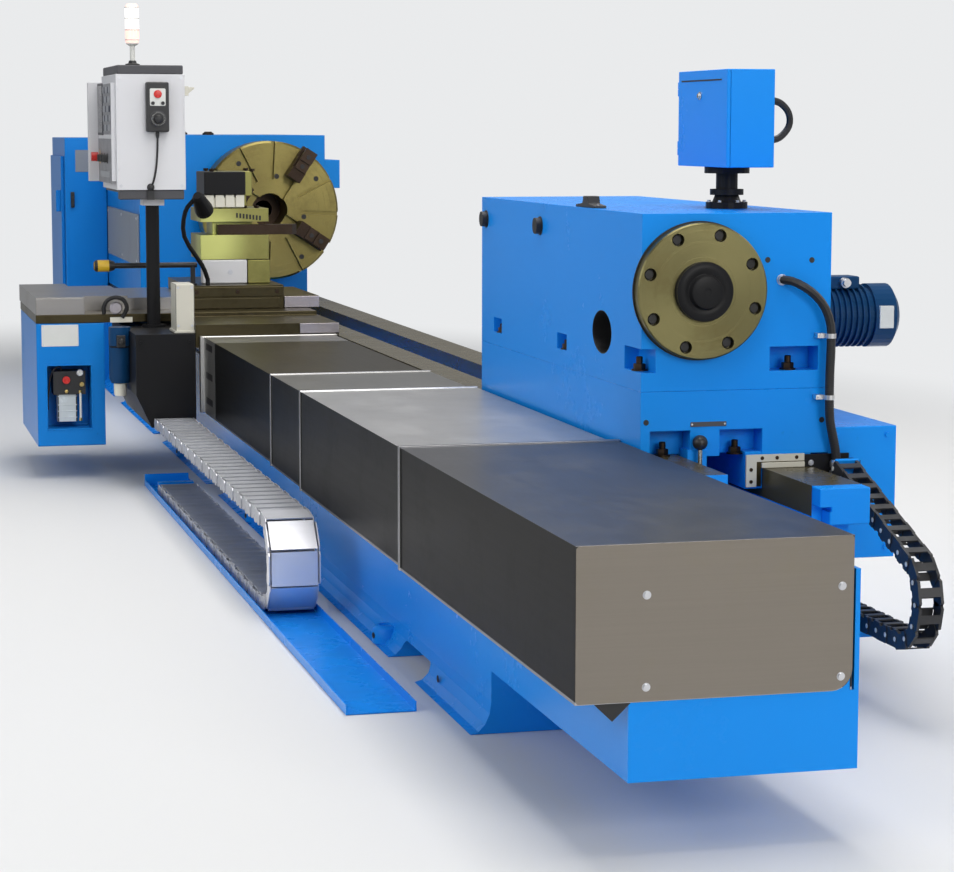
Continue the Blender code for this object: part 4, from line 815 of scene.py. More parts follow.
def hose(name, route, core, rib, spacing, finish, body):
    mesh = bpy.data.meshes.new(name)
    mesh.from_pydata([tuple(p) for p in route], [(i, i + 1) for i in range(len(route) - 1)], [])
    values = {"Spacing": spacing, "Core Radius": core, "Rib Radius": rib, "Finish": finishes[finish]}
    return runTree(name, "ribs", mesh, values, body)


print("helpers")


# finishes and rounded edges on the CAD nodes that stay

nodeLooks = {
    # (finish, edge radius): nodes
    ("bedBlue", 0.0): ("bed",), ("extensionBlue", 0.0): ("bed_extension",),
    ("blue", 0.005): ("end_stop_block",), ("blue", 0.0008): ("chain_tray",),
    ("blue", 0.006): ("tailstock_base", "chain_box"), ("blue", 0.008): ("tailstock_body",),
    ("blue", 0.003): ("junction_box", "junction_door"),
    # headstock, cabinet and drive box take the darker blue as painted shade
    ("deepBlue", 0.010): ("headstock_body",), ("deepBlue", 0.004): ("drive_cabinet",),
    ("deepBlue", 0.003): ("cabinet_door",), ("deepBlue", 0.006): ("drive_box",),
    ("grey", 0.003): ("headstock_side_panel",), ("navy", 0.0): ("main_motor", "tailstock_motor"),
    ("darkSteel", 0.0): ("motor_pulley", "spindle_pulley", "spindle"),
    ("darkSteel", 0.001): ("turning_tool",),
    ("darkSteel", 0.003): ("chuck_jaw_1", "chuck_jaw_2", "chuck_jaw_3", "chuck_jaw_4"),
    ("rubber", 0.0): ("drive_belt", "hand_cable", "box_cable", "conduit"),
    ("chuck", 0.0): ("chuck_body",), ("flange", 0.0): ("rear_flange",), ("brassy", 0.003): ("tool_head",),
    ("bright", 0.0): ("quill", "dead_centre", "clamp_lever"),
    ("cover1", 0.0012): ("way_cover_1",), ("cover2", 0.0012): ("way_cover_2",),
    ("cover3", 0.0012): ("way_cover_3",), ("cover4", 0.0012): ("way_cover_4",),
    ("cover", 0.0012): ("cross_cover_fixed", "cross_cover_middle", "cross_cover_moving"),
    ("oiled", 0.003): ("saddle",), ("oiled", 0.004): ("cross_slide",),
    ("black", 0.006): ("apron_box",), ("black", 0.0): ("pendant_post", "work_lamp", "conduit_mast"),
    ("plastic", 0.004): ("lubrication_pump",), ("plastic", 0.0): ("coolant_pipe", "hand_dial"),
    ("plastic", 0.006): ("hand_unit",), ("plastic", 0.002): ("black_chain_lower", "black_chain_upper"),
    ("red", 0.0): ("pump_button", "stop_button"), ("signal", 0.0): ("signal_light",),
    ("white", 0.006): ("tool_post_base",), ("white", 0.004): ("control_box",),
    ("zinc", 0.002): ("steel_chain_lower", "steel_chain_upper"),
}


def dressNode(node, finish, edge):
    for slot in node.material_slots:
        slot.material = finishes[finish]
    if not node.material_slots:
        node.data.materials.append(finishes[finish])
    if edge:
        weld = node.modifiers.new("weld", "WELD")
        weld.merge_threshold = 0.00002
        roundEdges(node, edge)


for (finish, edge), names in nodeLooks.items():
    for name in names:
        dressNode(nodes[name], finish, edge)
print("frame dressed")


# way covers: end plate with screws, and a dark triangle under it as painted shade

coverTrim = {
    "near": 9.3003, "low": (-0.3358, 0.3662), "high": (0.3358, 0.7298), "thickness": 0.0015, "corner": 0.05,
    "clip": 0.006, "screws": ((-0.168, 0.612), (-0.168, 0.399), (0.307, 0.612), (0.307, 0.399)),
    "shadeTriangle": ((-0.293, 0.3662), (-0.247, 0.322), (-0.20, 0.3662)), "shadeTriangleX": (9.2962, 9.2975),
}


def coverPlateOutline(steps=7):
    (y0, z0), (y1, z1) = coverTrim["low"], coverTrim["high"]
    corner, clip = coverTrim["corner"], coverTrim["clip"]
    outline = [(y0, z0 + clip), (y0 + clip, z0)]
    for k in range(steps + 1):
        angle = math.radians(90 * k / steps)
        outline.append((y1 - corner * (1 - math.sin(angle)), z0 + corner * (1 - math.cos(angle))))
    return outline + [(y1, z1 - clip), (y1 - clip, z1), (y0 + clip, z1), (y0, z1 - clip)]


def makeCoverTrim():
    near = coverTrim["near"]
    face = near + coverTrim["thickness"]
    makeSolids({"frame": {
        "coverEndPlate": ("endPlate", 0.0006, (addPrism, coverPlateOutline(), "X", near, face)),
        # painted shade: a dark triangle where the recess under the end plate lies in shadow
        "coverDrainCorner": ("rubber", 0.0, (addPrism, coverTrim["shadeTriangle"], "X", *coverTrim["shadeTriangleX"])),
    }})
    makeHeads({"frame": {"coverPlateScrews": ("near", face, coverTrim["screws"], 0.0075, 0.004, "zinc", 12)}})


makeCoverTrim()
print("cover trim")


# cable chains: link shapes on points, each half stretched between two bodies

steelChain = {
    "bend": (6.175, 0.17465), "radius": 0.14535, "middleY": -0.445,
    "pitch": 0.1, "turn": 41.0, "lift": 0.0065,
    "halfLength": 0.056, "halfHeight": 0.0235, "plate": 0.0042, "widths": (0.0895, 0.0848),
    "lidHalf": 0.0585, "lidWidth": 0.0795, "lowerEnd": 3.36, "upperEnd": 3.26,
    # inner lid of a link, slightly crowned
    "crown": ((-0.047, -0.0190), (-0.047, -0.0208), (-0.038, -0.0246), (-0.012, -0.0268), (0.018, -0.0262),
              (0.040, -0.0232), (0.047, -0.0200), (0.047, -0.0190)),
}
blackChain = {
    "bend": (8.235, 0.361), "radius": 0.12, "middleY": 0.9575, "lean": 70.0, "run": 0.55, "lowerStart": 6.2,
    "halfLength": 0.0375, "halfHeight": 0.0255, "plate": 0.0085, "widths": (0.0370, 0.0345),
    "barHalf": (0.013, 0.0285), "barZ": (0.0215, 0.0255), "lowerLinks": 34, "upperLinks": 11,
    "pin": 0.0068, "pinHeight": 0.0014, "pinHole": 0.004, "pinY": 0.0378,
}


def linkPlates(chain, plateY):
    # both side plates of a link: x along the chain, z outwards from its bend
    bm = bmesh.new()
    h, a = chain["halfHeight"], chain["halfLength"]
    plate = [(-a, -h * 0.62), (-a * 0.82, -h), (-a * 0.34, -h), (-a * 0.2, -h * 0.72), (a * 0.2, -h * 0.72),
             (a * 0.34, -h), (a * 0.82, -h), (a, -h * 0.62), (a, h * 0.62), (a * 0.82, h), (-a * 0.82, h),
             (-a, h * 0.62)]
    for side in (-1, 1):
        addPrism(bm, plate, "Y", *sorted((side * plateY, side * (plateY - chain["plate"]))))
        for x in (-a * 0.86, a * 0.86):
            addTurned(bm, [(0, h * 0.36), (side * 0.0012, h * 0.30)], (x, side * plateY, 0), "Y", 10)
    return bm


def steelLinkTemplate(name, plateY):
    # two lids close the link, the outer one with a folded lip
    bm = linkPlates(steelChain, plateY)
    a, w = steelChain["lidHalf"], steelChain["lidWidth"]
    addPrism(bm, [(-a, 0.0222), (a, 0.0192), (a, 0.0212), (-a, 0.0243)], "Y", -w, w)
    addPrism(bm, [(-a, 0.0243), (-a, 0.0262), (-a + 0.008, 0.0258), (-a + 0.008, 0.0240)], "Y", -w, w)
    addPrism(bm, steelChain["crown"], "Y", -w, w)
    return finishPiece(name, bm, "chainZinc")


def blackLinkTemplate(name, plateY):
    # two cross bars keep the plates apart
    bm = linkPlates(blackChain, plateY)
    (a, w), (z0, z1) = blackChain["barHalf"], blackChain["barZ"]
    for low, high in ((-z1, -z0), (z0, z1)):
        addBlock(bm, (-a, -w, low), (a, w, high))
    return finishPiece(name, bm, "chainPlastic")


def linkRow(name, makeTemplate, widths, places, finish):
    # every second link has its plates inside those of its neighbours
    bm = bmesh.new()
    for i, width in enumerate(widths):
        template = makeTemplate(f"{name}Shape{i}", width)
        row = templateRow(f"{name}{i}", template, places[i::2], finish, None)
        bm.from_mesh(row.data)
        for helper in (template, row):
            bpy.data.objects.remove(helper, do_unlink=True)
    return finishPiece(name, bm, finish)


def steelChainPlaces():
    (cx, cz), r, y = steelChain["bend"], steelChain["radius"], steelChain["middleY"]
    turn, pitch = steelChain["turn"], steelChain["pitch"]

    def onBend(degrees):
        a = math.radians(degrees)
        return ((cx + r * math.cos(a), y, cz + r * math.sin(a)), (math.cos(a), 0, math.sin(a)),
                (-math.sin(a), 0, math.cos(a)))

    lower = [onBend(-turn * k) for k in range(3)]
    (x, _, z), out, ahead = lower[2]
    lower[2] = ((x, y, z + steelChain["lift"]), out, ahead)  # its tipped lid rests on the tray
    upper = [onBend(turn * k) for k in (1, 2)]
    for places, side, end in ((lower, -1, steelChain["lowerEnd"]), (upper, 1, steelChain["upperEnd"])):
        x = cx - pitch + r * math.radians(90 - 2 * turn)
        while x > end:
            places.append(((x, y, cz + side * r), (0, 0, side), (-side, 0, 0)))
            x -= pitch
    return lower, upper


def blackChainPlace(s):
    # s is the length along the chain from the point that is nearest to the tail end
    (cx, cz), r, y = blackChain["bend"], blackChain["radius"], blackChain["middleY"]
    lean = math.radians(blackChain["lean"])
    quarter = r * math.pi / 2
    if s < -quarter:
        return (cx + s + quarter, y, cz - r), (0, 0, -1), (1, 0, 0)
    a = min(s / r, lean)
    ahead = Vector((-math.sin(a), 0, math.cos(a)))
    out = Vector((math.cos(a), 0, math.sin(a)))
    place = Vector((cx, y, cz)) + r * out
    if s / r > lean:
        place += (s - r * lean) * ahead
    return tuple(place), tuple(out), tuple(ahead)


def makeSteelChain():
    lower, upper = steelChainPlaces()
    widths = steelChain["widths"]
    low = linkRow("steelChainLow", steelLinkTemplate, widths, lower, "chainZinc")
    high = linkRow("steelChainHigh", steelLinkTemplate, widths, upper, "chainZinc")
    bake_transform(low, "frame", "steel_chain_lower", start=(3.3, 0, 0), end=(6.175, 0, 0))
    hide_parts("steel_chain_lower")
    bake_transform(high, "carriage", "steel_chain_upper", start=(3.2, 0, 0), end=(6.175, 0, 0))
    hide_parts("steel_chain_upper")


def makeBlackChain():
    r = blackChain["radius"]
    lowLength = r * math.pi / 2 + blackChain["bend"][0] - blackChain["lowerStart"]
    highLength = r * math.radians(blackChain["lean"]) + blackChain["run"]
    halves = {
        "Low": (-lowLength, blackChain["lowerLinks"], "frame", "black_chain_lower"),
        "High": (highLength, blackChain["upperLinks"], "tailstock", "black_chain_upper"),
    }
    for half, (length, count, carrier, node) in halves.items():
        step = length / count
        places = [blackChainPlace(step * (i + 0.5)) for i in range(count)]
        links = linkRow(f"blackChain{half}", blackLinkTemplate, blackChain["widths"], places, "chainPlastic")
        pins = []
        for i in range(count if half == "High" else count + 1):
            (x, y, z), _, ahead = blackChainPlace(step * (i + (half == "High") * 0.999))
            pins += [((x, y + side * blackChain["pinY"], z), (0, side, 0), ahead) for side in (-1, 1)]
        pins = heads(f"blackChainPins{half}", pins, blackChain["pin"], blackChain["pinHeight"],
                     "creamPlastic", None, 14, blackChain["pinHole"])
        start, end = ((6.2, 0, 0), (8.235, 0, 0)) if half == "Low" else ((7.759, 0, 0), (8.235, 0, 0))
        for piece in (links, pins):
            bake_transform(piece, carrier, node, start=start, end=end)
        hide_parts(node)


makeSteelChain()
makeBlackChain()
print("cable chains")


# tailstock: near face, pockets, flange, wiper, bracket, hose fittings

faceX = 7.6804  # near face of the tailstock
tailTrim = {
    "pocketBolts": ((7.642, 0.425, 0.7006), (7.642, 0.652, 0.7006),
                    (7.600, 0.366, 0.9515), (7.645, 0.815, 0.9495)),
    "sideBolts": ((6.045, 0.362, 0.9422), (6.855, 0.362, 0.9512)),
    # profiles and sides of a stud's washer, nut and rod
    "pocketStud": (([(0, 0.024), (0.004, 0.024)], 20),
                   ([(0.003, 0.0185), (0.019, 0.0185), (0.021, 0.017)], 6),
                   ([(0.018, 0.010), (0.040, 0.010), (0.042, 0.008)], 14)),
    "sideStud": (([(0, 0.020), (0.0030, 0.020)], 20),
                 ([(0.0025, 0.0150), (0.016, 0.0150), (0.018, 0.0135)], 6),
                 ([(0.0175, 0.008), (0.030, 0.008), (0.0315, 0.006)], 14)),
    "handHole": (7.29, 1.042), "handHoleSize": (0.10, 0.067),
    "handHoleShade": ((0.3456, 0.992), (0.4440, 0.992), (0.4440, 0.02), (0.4400, 0.02), (0.4400, 0.965),
                       (0.3456, 0.965)),
    "ballRadius": 0.0226, "wiper": ((0.673, 0.604), (0.706, 0.604), (0.706, 0.679), (0.857, 0.679),
                                    (0.857, 0.7005), (0.673, 0.7005)),
    "clips": ((0.922, 1.053), (0.920, 0.870)),
}
hoseRoute = [(7.72, 0.922, 1.04), (7.72, 0.922, 1.0), (7.72, 0.920, 0.94), (7.72, 0.920, 0.86),
             (7.718, 0.924, 0.80), (7.714, 0.936, 0.75), (7.71, 0.946, 0.71), (7.71, 0.950, 0.68)]


def studs(profiles, places):
    return [(addTurned, profile, place, "Z", sides) for place in places for profile, sides in profiles]


def handHoleRings():
    # painted shade: a dark sheet inside the oval hand hole on the operator's side
    (x, z), (halfX, halfZ) = tailTrim["handHole"], tailTrim["handHoleSize"]
    angles = [math.pi * k / 24 for k in range(48)]
    return [[(x + halfX * scale * math.cos(a), y, z + halfZ * scale * math.sin(a)) for a in angles]
            for y, scale in tailTrim["handHoleShade"]]


def clipShapes():
    shapes = []
    for y, z in tailTrim["clips"]:
        band = [(-0.007, 0.0138), (-0.007, 0.0152), (0.007, 0.0152), (0.007, 0.0138)]
        shapes.append((addTurned, band, (7.72, y, z), "Z", 24, True))
        shapes.append((addBlock, (7.6806, y - 0.038, z - 0.007), (7.7085, y - 0.0128, z + 0.007)))
    return shapes


def ballProfile():
    r = tailTrim["ballRadius"]
    return [(r * math.sin(math.radians(k)), r * math.cos(math.radians(k))) for k in range(-80, 90, 10)]


tailSolids = {
    "tailstock": {
        "tailPocketBolts": ("darkSteel", 0.0, *studs(tailTrim["pocketStud"], tailTrim["pocketBolts"]),
                            *studs(tailTrim["sideStud"], tailTrim["sideBolts"])),
        "tailBarePlate": ("slateGrey", 0.0004, (addPrism, roundedOutline(
            (0.499, 0.789), (0.611, 0.803), 0.002, 3), "X", faceX, faceX + 0.0016)),
        # painted shade: a dark sheet stands for the shadow inside the hand hole
        "tailHandHoleLining": ("rubber", 0.0, (addLoft, handHoleRings(), True)),
        "flangeHubCap": ("black", 0.0, (addTurned, [
            (-0.0012, 0.0878), (0.016, 0.0878), (0.0186, 0.0862), (0.0230, 0.0775), (0.0232, 0.060),
            (0.0223, 0.058), (0.0223, 0.053), (0.0236, 0.0515), (0.0396, 0.0468), (0.0412, 0.042),
            (0.0412, 0.012), (0.0401, 0.010)], (7.7206, 0.52, 1.19), "X", 56)),
        "flangeSealRing": ("rubber", 0.0, (addTurned, [
            (0, 0.2045), (0.004, 0.2045), (0.004, 0.1995), (0, 0.1995)],
            (7.6802, 0.52, 1.19), "X", 72, True)),
        "tailWiperFrame": ("cream", 0.001, (addPrism, tailTrim["wiper"], "X", faceX, faceX + 0.008)),
        "tailWiperStep": ("cream", 0.0015,
                          (addBlock, (faceX, 0.7215, 0.6606), (faceX + 0.012, 0.857, 0.6765))),
        "tailWiperRubber": ("oiled", 0.0,
                            (addBlock, (faceX, 0.7075, 0.6765), (faceX + 0.0055, 0.857, 0.6790)),
                            (addBlock, (faceX, 0.7075, 0.606), (faceX + 0.0050, 0.7210, 0.6765))),
        "chainBracketPlate": ("black", 0.0015,
                              (addBlock, (faceX + 0.0006, 0.8578, 0.6120), (faceX + 0.0075, 1.0000, 0.6975))),
        "chainBracketShelf": ("black", 0.0015, (addBlock, (faceX, 0.8994, 0.5893), (7.7298, 1.0127, 0.6107))),
        "chainBracketArm": ("black", 0.0015, (addBlock, (7.6862, 0.9713, 0.5992), (7.7460, 1.0127, 0.6828))),
        "hoseUpperFitting": ("zinc", 0.0, (addTurned, [
            (-0.0004, 0.0165), (0.003, 0.0165), (0.003, 0.0150), (0.010, 0.0150), (0.012, 0.0138)],
            (7.6806, 0.779, 1.219), "X", 20)),
        "hoseLowerFitting": ("zinc", 0.0, (addTurned, [
            (0, 0.0215), (0.012, 0.0215), (0.014, 0.0165), (0.022, 0.0165), (0.024, 0.0205), (0.036, 0.0205),
            (0.038, 0.016), (0.046, 0.016), (0.048, 0.0195), (0.064, 0.0195), (0.070, 0.0150)],
            (7.71, 0.950, 0.6115), "Z", 24)),
        "hoseClips": ("lip", 0.0006, *clipShapes()),
    },
    "clamp_lever": {
        "clampLeverBall": ("plastic", 0.0, (addTurned, ballProfile(), (7.7083, 0.52, 0.745), "Z", 24)),
        "clampLeverNut": ("darkSteel", 0.0, (addTurned, [(0, 0.0155), (0.003, 0.0155), (0.004, 0.014)],
                                             (7.7223, 0.52, 0.655), "X", 6)),
    },
}
tailHeads = {"tailstock": {
    "tailFaceHoles": ("near", faceX - 0.0006,
                      ((0.734, 1.278), (0.873, 1.276), (0.362, 0.805), (0.913, 0.799)),
                      0.0075, 0.0012, "rubber", 14, 0.0085),
    "tailSidePlugs": ("left", 0.3448, ((5.885, 1.339), (6.595, 1.341)), 0.027, 0.018, "rubber", 18, 0.031),
    "tailPlateRivets": ("near", faceX + 0.0016, ((0.504, 0.796), (0.606, 0.796)), 0.0022, 0.001, "zinc", 10),
    "flangeScrews": ("near", 7.6956, circlePoints((0.52, 1.19), 0.17, 8, 2 * math.pi * 0.61 / 8),
                     0.0125, 0.011, "rubber", 12, 0.0180),
    "tailWiperScrews": ("near", faceX + 0.008,
                        ((0.6885, 0.656), (0.6885, 0.620), (0.723, 0.690), (0.832, 0.690), (0.770, 0.690)),
                        0.0042, 0.002, "darkSteel", 12),
    "chainBracketBolts": ("near", faceX + 0.0075, ((0.878, 0.672), (0.878, 0.634), (0.925, 0.634)),
                          0.0065, 0.004, "zinc"),
    "hoseClipScrews": ("near", 7.7085, [(y - 0.028, z) for y, z in tailTrim["clips"]],
                       0.0045, 0.003, "zinc", 12),
}}

makeSolids(tailSolids)
makeHeads(tailHeads)
hose("hoseRibs", smoothRoute(hoseRoute), 0.0132, 0.0011, 0.0055, "rubber", "tailstock")
print("tailstock near face")


# junction box on its mast, small clamp on the top edge, feed motor, chain box

boxTrim = {"hinges": (1.60, 1.785), "glands": (1.75, 1.625), "finY": (0.975, 1.185), "fins": 12}


def finShapes():
    y0, y1 = boxTrim["finY"]
    last = boxTrim["fins"] - 1
    fin = [(-0.003, 0.0875), (-0.002, 0.0985), (0.002, 0.0985), (0.003, 0.0875)]
    return [(addTurned, fin, (7.30, y0 + (y1 - y0) * i / last, 1.08), "Y", 40, True) for i in range(last + 1)]


def hingeShapes():
    knuckles = [(-0.022, 0.0055), (-0.0205, 0.0062), (-0.001, 0.0062), (-0.001, 0.0050), (0.001, 0.0050),
                (0.001, 0.0062), (0.0205, 0.0062), (0.022, 0.0055)]
    return [(addTurned, knuckles, (7.0155, 0.684, z), "Z", 16) for z in boxTrim["hinges"]]


def glandShapes():
    shapes = []
    for z in boxTrim["glands"]:
        shapes.append((addTurned, [(-0.0002, 0.0185), (0.006, 0.0185)], (7.3575, 0.8304, z), "Y", 6))
        shapes.append((addTurned, [(0.006, 0.0165), (0.015, 0.0160), (0.020, 0.0125)],
                       (7.3575, 0.8304, z), "Y", 20))
    return shapes


boxSolids = {
    "junction_door": {
        "junctionLock": ("bright", 0.0, (addTurned, [
            (0, 0.013), (-0.003, 0.013), (-0.0045, 0.011), (-0.0045, 0.0085), (-0.008, 0.0080),
            (-0.009, 0.0068)], (7.226, 0.6778, 1.762), "Y", 24)),
        "junctionLockSlot": ("rubber", 0.0, (addBlock, (7.2248, 0.6684, 1.757), (7.2272, 0.6692, 1.767))),
        "junctionDoorGroove": ("rubber", 0.0, (addBlock, (7.05, 0.6768, 1.8068), (7.42, 0.6780, 1.8112))),
    },
    "tailstock": {
        "junctionHinges": ("blue", 0.0, *hingeShapes()),
        "junctionGlands": ("plastic", 0.0, *glandShapes()),
        "mastCollarRing": ("black", 0.0, (addTurned, [
            (-0.009, 0.052), (-0.009, 0.0475), (0.009, 0.0475), (0.009, 0.052)],
            (7.25, 0.76, 1.467), "Z", 36, True)),
        "topBracket": ("plastic", 0.002, (addPrism, [
            (6.98, 1.4162), (7.18, 1.4162), (7.18, 1.424), (7.115, 1.430), (7.105, 1.452), (7.06, 1.452),
            (7.05, 1.430), (6.98, 1.424)], "Y", 0.352, 0.392)),
        "feedMotorFins": ("navy", 0.0, *finShapes()),
        "feedMotorBarePlate": ("palePlate", 0.002, (addBlock, (7.380, 1.215, 1.045), (7.4032, 1.262, 1.115))),
        "feedMotorTerminalBox": ("navy", 0.006, (addBlock, (7.255, 1.06, 1.165), (7.345, 1.17, 1.205))),
        "feedMotorPlug": ("zinc", 0.0, (addTurned, [
            (0, 0.016), (0.02, 0.016), (0.022, 0.012), (0.034, 0.012)], (7.345, 1.115, 1.186), "X", 20)),
    },
}
boxHeads = {"tailstock": {
    "mastFlangeBolts": ("up", 1.4364, circlePoints((7.25, 0.76), 0.055, 6, 0.3), 0.0055, 0.005, "zinc"),
    "topBracketScrews": ("up", 1.4245, ((7.00, 0.372), (7.16, 0.372)), 0.006, 0.004, "zinc"),
    "chainBoxScrews": ("near", 7.6806, ((0.965, 0.748), (1.125, 0.748), (1.125, 0.405)),
                       0.0075, 0.005, "blue"),
}}

makeSolids(boxSolids)
makeHeads(boxHeads)
print("junction box and feed motor")


# bed: levelling bosses on the foot, small holes in them and beside them

bedTrim = {
    "bosses": ((6.80, -0.222), (4.20, -0.222), (2.00, -0.222)), "holes": ((7.525, 0.038), (5.6, 0.038)),
    "boss": [(0, 0.052), (0.046, 0.052), (0.056, 0.044), (0.058, 0.030), (0.054, 0.026)],
    "holeFacing": (0.25, -0.968, 0), "holeAway": (0.012, -0.0505),
}


def makeBedTrim():
    ax, ay = bedTrim["holeAway"]
    makeSolids({"frame": {"footBosses": ("blue", 0.0, *[
        (addTurned, bedTrim["boss"], (x, y, 0.004), "Z", 32) for x, y in bedTrim["bosses"]])}})
    holes = [((x + ax, y + ay, 0.030), bedTrim["holeFacing"], (1, 0, 0)) for x, y in bedTrim["bosses"]]
    heads("footBossHoles", holes, 0.0085, 0.0012, "rubber", "frame", 14, 0.010)
    makeHeads({"frame": {"footHoles": (
        "left", -0.2290, bedTrim["holes"], 0.010, 0.0015, "rubber", 14, 0.011)}})


makeBedTrim()
print("bed")


# chuck and jaws

chuckTrim = {
    "center": (0.52, 1.19), "faceX": 0.2503, "boltRadii": (0.20, 0.325), "boltSize": 0.015, "boltTurn": 22.0,
    "rimX": 0.13, "rimRadius": 0.4002, "jawAngle": 57.0, "jawTopX": 0.3706, "jawHalf": 0.0365,
    "jawInner": (0.215, 0.16, 0.17, 0.17),
    "steps": ((0.115, 0.192, 0.030), (0.060, 0.115, 0.016)),  # start, end, rise
    "teeth": 6, "toothStart": 0.006, "toothPitch": 0.0085, "toothWidth": 0.0045, "toothRise": 0.003,
    "screws": ((0.150, 0.030), (0.088, 0.016)),
}


def makeChuckTrim():
    cy, cz = chuckTrim["center"]
    places, screws = [], []
    for i in range(8):
        angle = math.radians(chuckTrim["jawAngle"] + chuckTrim["boltTurn"] + 45 * i)
        radius = chuckTrim["boltRadii"][i % 2]
        places.append((cy + radius * math.cos(angle), cz + radius * math.sin(angle)))
    places = onFace("near", chuckTrim["faceX"] - 0.0008, places)
    size = chuckTrim["boltSize"]
    heads("chuckFaceBolts", places, size * 0.8, 0.004, "rubber", "spindle", 14, size)
    for i in range(4):
        angle = math.radians(chuckTrim["jawAngle"] + 90 * i)
        out = (0, math.cos(angle), math.sin(angle))
        r = chuckTrim["rimRadius"]
        screws.append(((chuckTrim["rimX"], cy + r * out[1], cz + r * out[2]), out, (1, 0, 0)))
    heads("chuckRimScrews", screws, 0.022, 0.004, "rubber", "spindle", 4, 0.034)


def jawPoint(i, along, side, x):
    angle = math.radians(chuckTrim["jawAngle"] + 90 * i)
    cy, cz = chuckTrim["center"]
    return (x, cy + along * math.cos(angle) - side * math.sin(angle),
            cz + along * math.sin(angle) + side * math.cos(angle))


def jawBar(i, start, end, rise):
    # a flat bar across jaw i, on the face of its base jaw
    half, x = chuckTrim["jawHalf"], chuckTrim["jawTopX"]
    base = [jawPoint(i, a, s, x) for a, s in ((start, -half), (end, -half), (end, half), (start, half))]
    return addLoft, [base, [(x + rise, y, z) for _, y, z in base]]


def makeJawTrim():
    # stepped hard jaw on top of each base jaw, serrations on its steps, two cap screws
    for i, inner in enumerate(chuckTrim["jawInner"]):
        bars = [jawBar(i, inner + start, inner + end, rise) for start, end, rise in chuckTrim["steps"]]
        for k in range(chuckTrim["teeth"]):
            a = inner + chuckTrim["toothStart"] + chuckTrim["toothPitch"] * k
            bars.append(jawBar(i, a, a + chuckTrim["toothWidth"], chuckTrim["toothRise"]))
        makeSolids({f"jaw_{i + 1}": {f"jawStep{i + 1}": ("darkSteel", 0.001, *bars)}})
        places = [(jawPoint(i, inner + along, 0, chuckTrim["jawTopX"] + rise), (1, 0, 0), (0, 1, 0))
                  for along, rise in chuckTrim["screws"]]
        heads(f"jawScrews{i + 1}", places, 0.0125, 0.006, "rubber", f"jaw_{i + 1}", 18, 0.0135)


makeChuckTrim()
makeJawTrim()
print("chuck and jaws")


# tool post: black holder block, toothed strip, comb, pale base block, steel blocks on the slide

postTrim = {
    "stripY": (-0.166, 0.034), "stripZ": (1.2725, 1.3365), "teeth": 4, "gap": 0.004,
    "combY": (-0.012, 0.118), "combZ": 1.238, "combTeeth": 8, "combDrop": 0.002,
    "lowScrewY": (-0.145, -0.085, -0.025, 0.035, 0.095), "lowScrewX": 2.335, "lowScrewZ": 1.2700,
    "topScrews": [(x, y) for x in (2.10, 2.30) for y in (-0.12, 0.08)], "topScrewZ": 1.4496,
}


def toothShapes():
    (y0, y1), (z0, z1), gap = postTrim["stripY"], postTrim["stripZ"], postTrim["gap"]
    width = (y1 - y0) / postTrim["teeth"]
    shapes = [(addBlock, (2.298, y0 + width * i + gap, z0 + gap), (2.3665, y0 + width * (i + 1) - gap, z1))
              for i in range(postTrim["teeth"])]
    return shapes + [(addBlock, (2.290, y0 + gap, z0 + 0.002), (2.355, y1 - gap, z1 - 0.012))]


def combShapes():
    y0, y1 = postTrim["combY"]
    pitch = (y1 - y0) / postTrim["combTeeth"]
    shapes = []
    for i in range(postTrim["combTeeth"]):
        z = postTrim["combZ"] - postTrim["combDrop"] * i
        shapes.append((addBlock, (2.3692, y0 + pitch * i, z - 0.013),
                       (2.3716, y0 + pitch * (i + 0.55), z + 0.010)))
    return shapes


postSolids = {
    "tool_head": {
        "toolHolderBlock": ("black", 0.004, (addBlock, (2.095, -0.168, 1.3375), (2.373, 0.036, 1.4495))),
        "toolHolderTeeth": ("creamPlastic", 0.002, *toothShapes()),
        "toolHeadComb": ("rubber", 0.0, *combShapes()),
    },
    "cross_slide": {
        "toolPostBaseBlock": ("white", 0.007, (addBlock, (2.3105, -0.182, 0.9010), (2.3735, 0.040, 1.0185))),
        "toolPostSideBlock": ("brassy", 0.004, (addBlock, (2.3110, 0.0435, 0.9010), (2.3690, 0.155, 1.0170))),
        "slideTailWiper": ("lilacSteel", 0.002,
                           (addBlock, (2.4805, 0.205, 0.7870), (2.4890, 0.3785, 0.8420))),
        "slideNearPlates": ("oiled", 0.0025, (addBlock, (2.5003, -0.262, 0.8450), (2.5080, 0.195, 0.8930)),
                            (addBlock, (2.5003, -0.262, 0.7880), (2.5060, 0.180, 0.8380))),
        "coolantPipeCap": ("yellow", 0.0, (addTurned, [
            (0, 0.0185), (-0.012, 0.0285), (-0.040, 0.0285), (-0.062, 0.0285), (-0.065, 0.0280),
            (-0.081, 0.0205), (-0.083, 0.0182)], (2.45, -0.6365, 1.0003), "Y", 28)),
    },
    "carriage": {
        "saddleNearWiper": ("lilacSteel", 0.002,
                            (addBlock, (3.2005, 0.150, 0.7185), (3.2120, 0.3340, 0.7640))),
    },
}
postHeads = {"cross_slide": {
    "toolPostBaseScrew": ("near", 2.3735, ((-0.045, 0.958),), 0.009, 0.003, "zinc", 14, 0.013),
    "slidePlateScrews": ("near", 2.5080, ((-0.23, 0.869), (-0.03, 0.869), (0.165, 0.869)),
                         0.008, 0.005, "darkSteel", 12),
}}

makeSolids(postSolids)
makeHeads(postHeads)
toolScrews = onFace("up", postTrim["lowScrewZ"], [(postTrim["lowScrewX"], y) for y in postTrim["lowScrewY"]])
toolScrews += onFace("up", postTrim["topScrewZ"], postTrim["topScrews"])
heads("toolHeadScrews", toolScrews, 0.013, 0.012, "darkSteel", "tool_head", 4, 0.008)
print("tool post")


# pendant: caps, screen, keys, knobs, hand unit face, hook, signal base

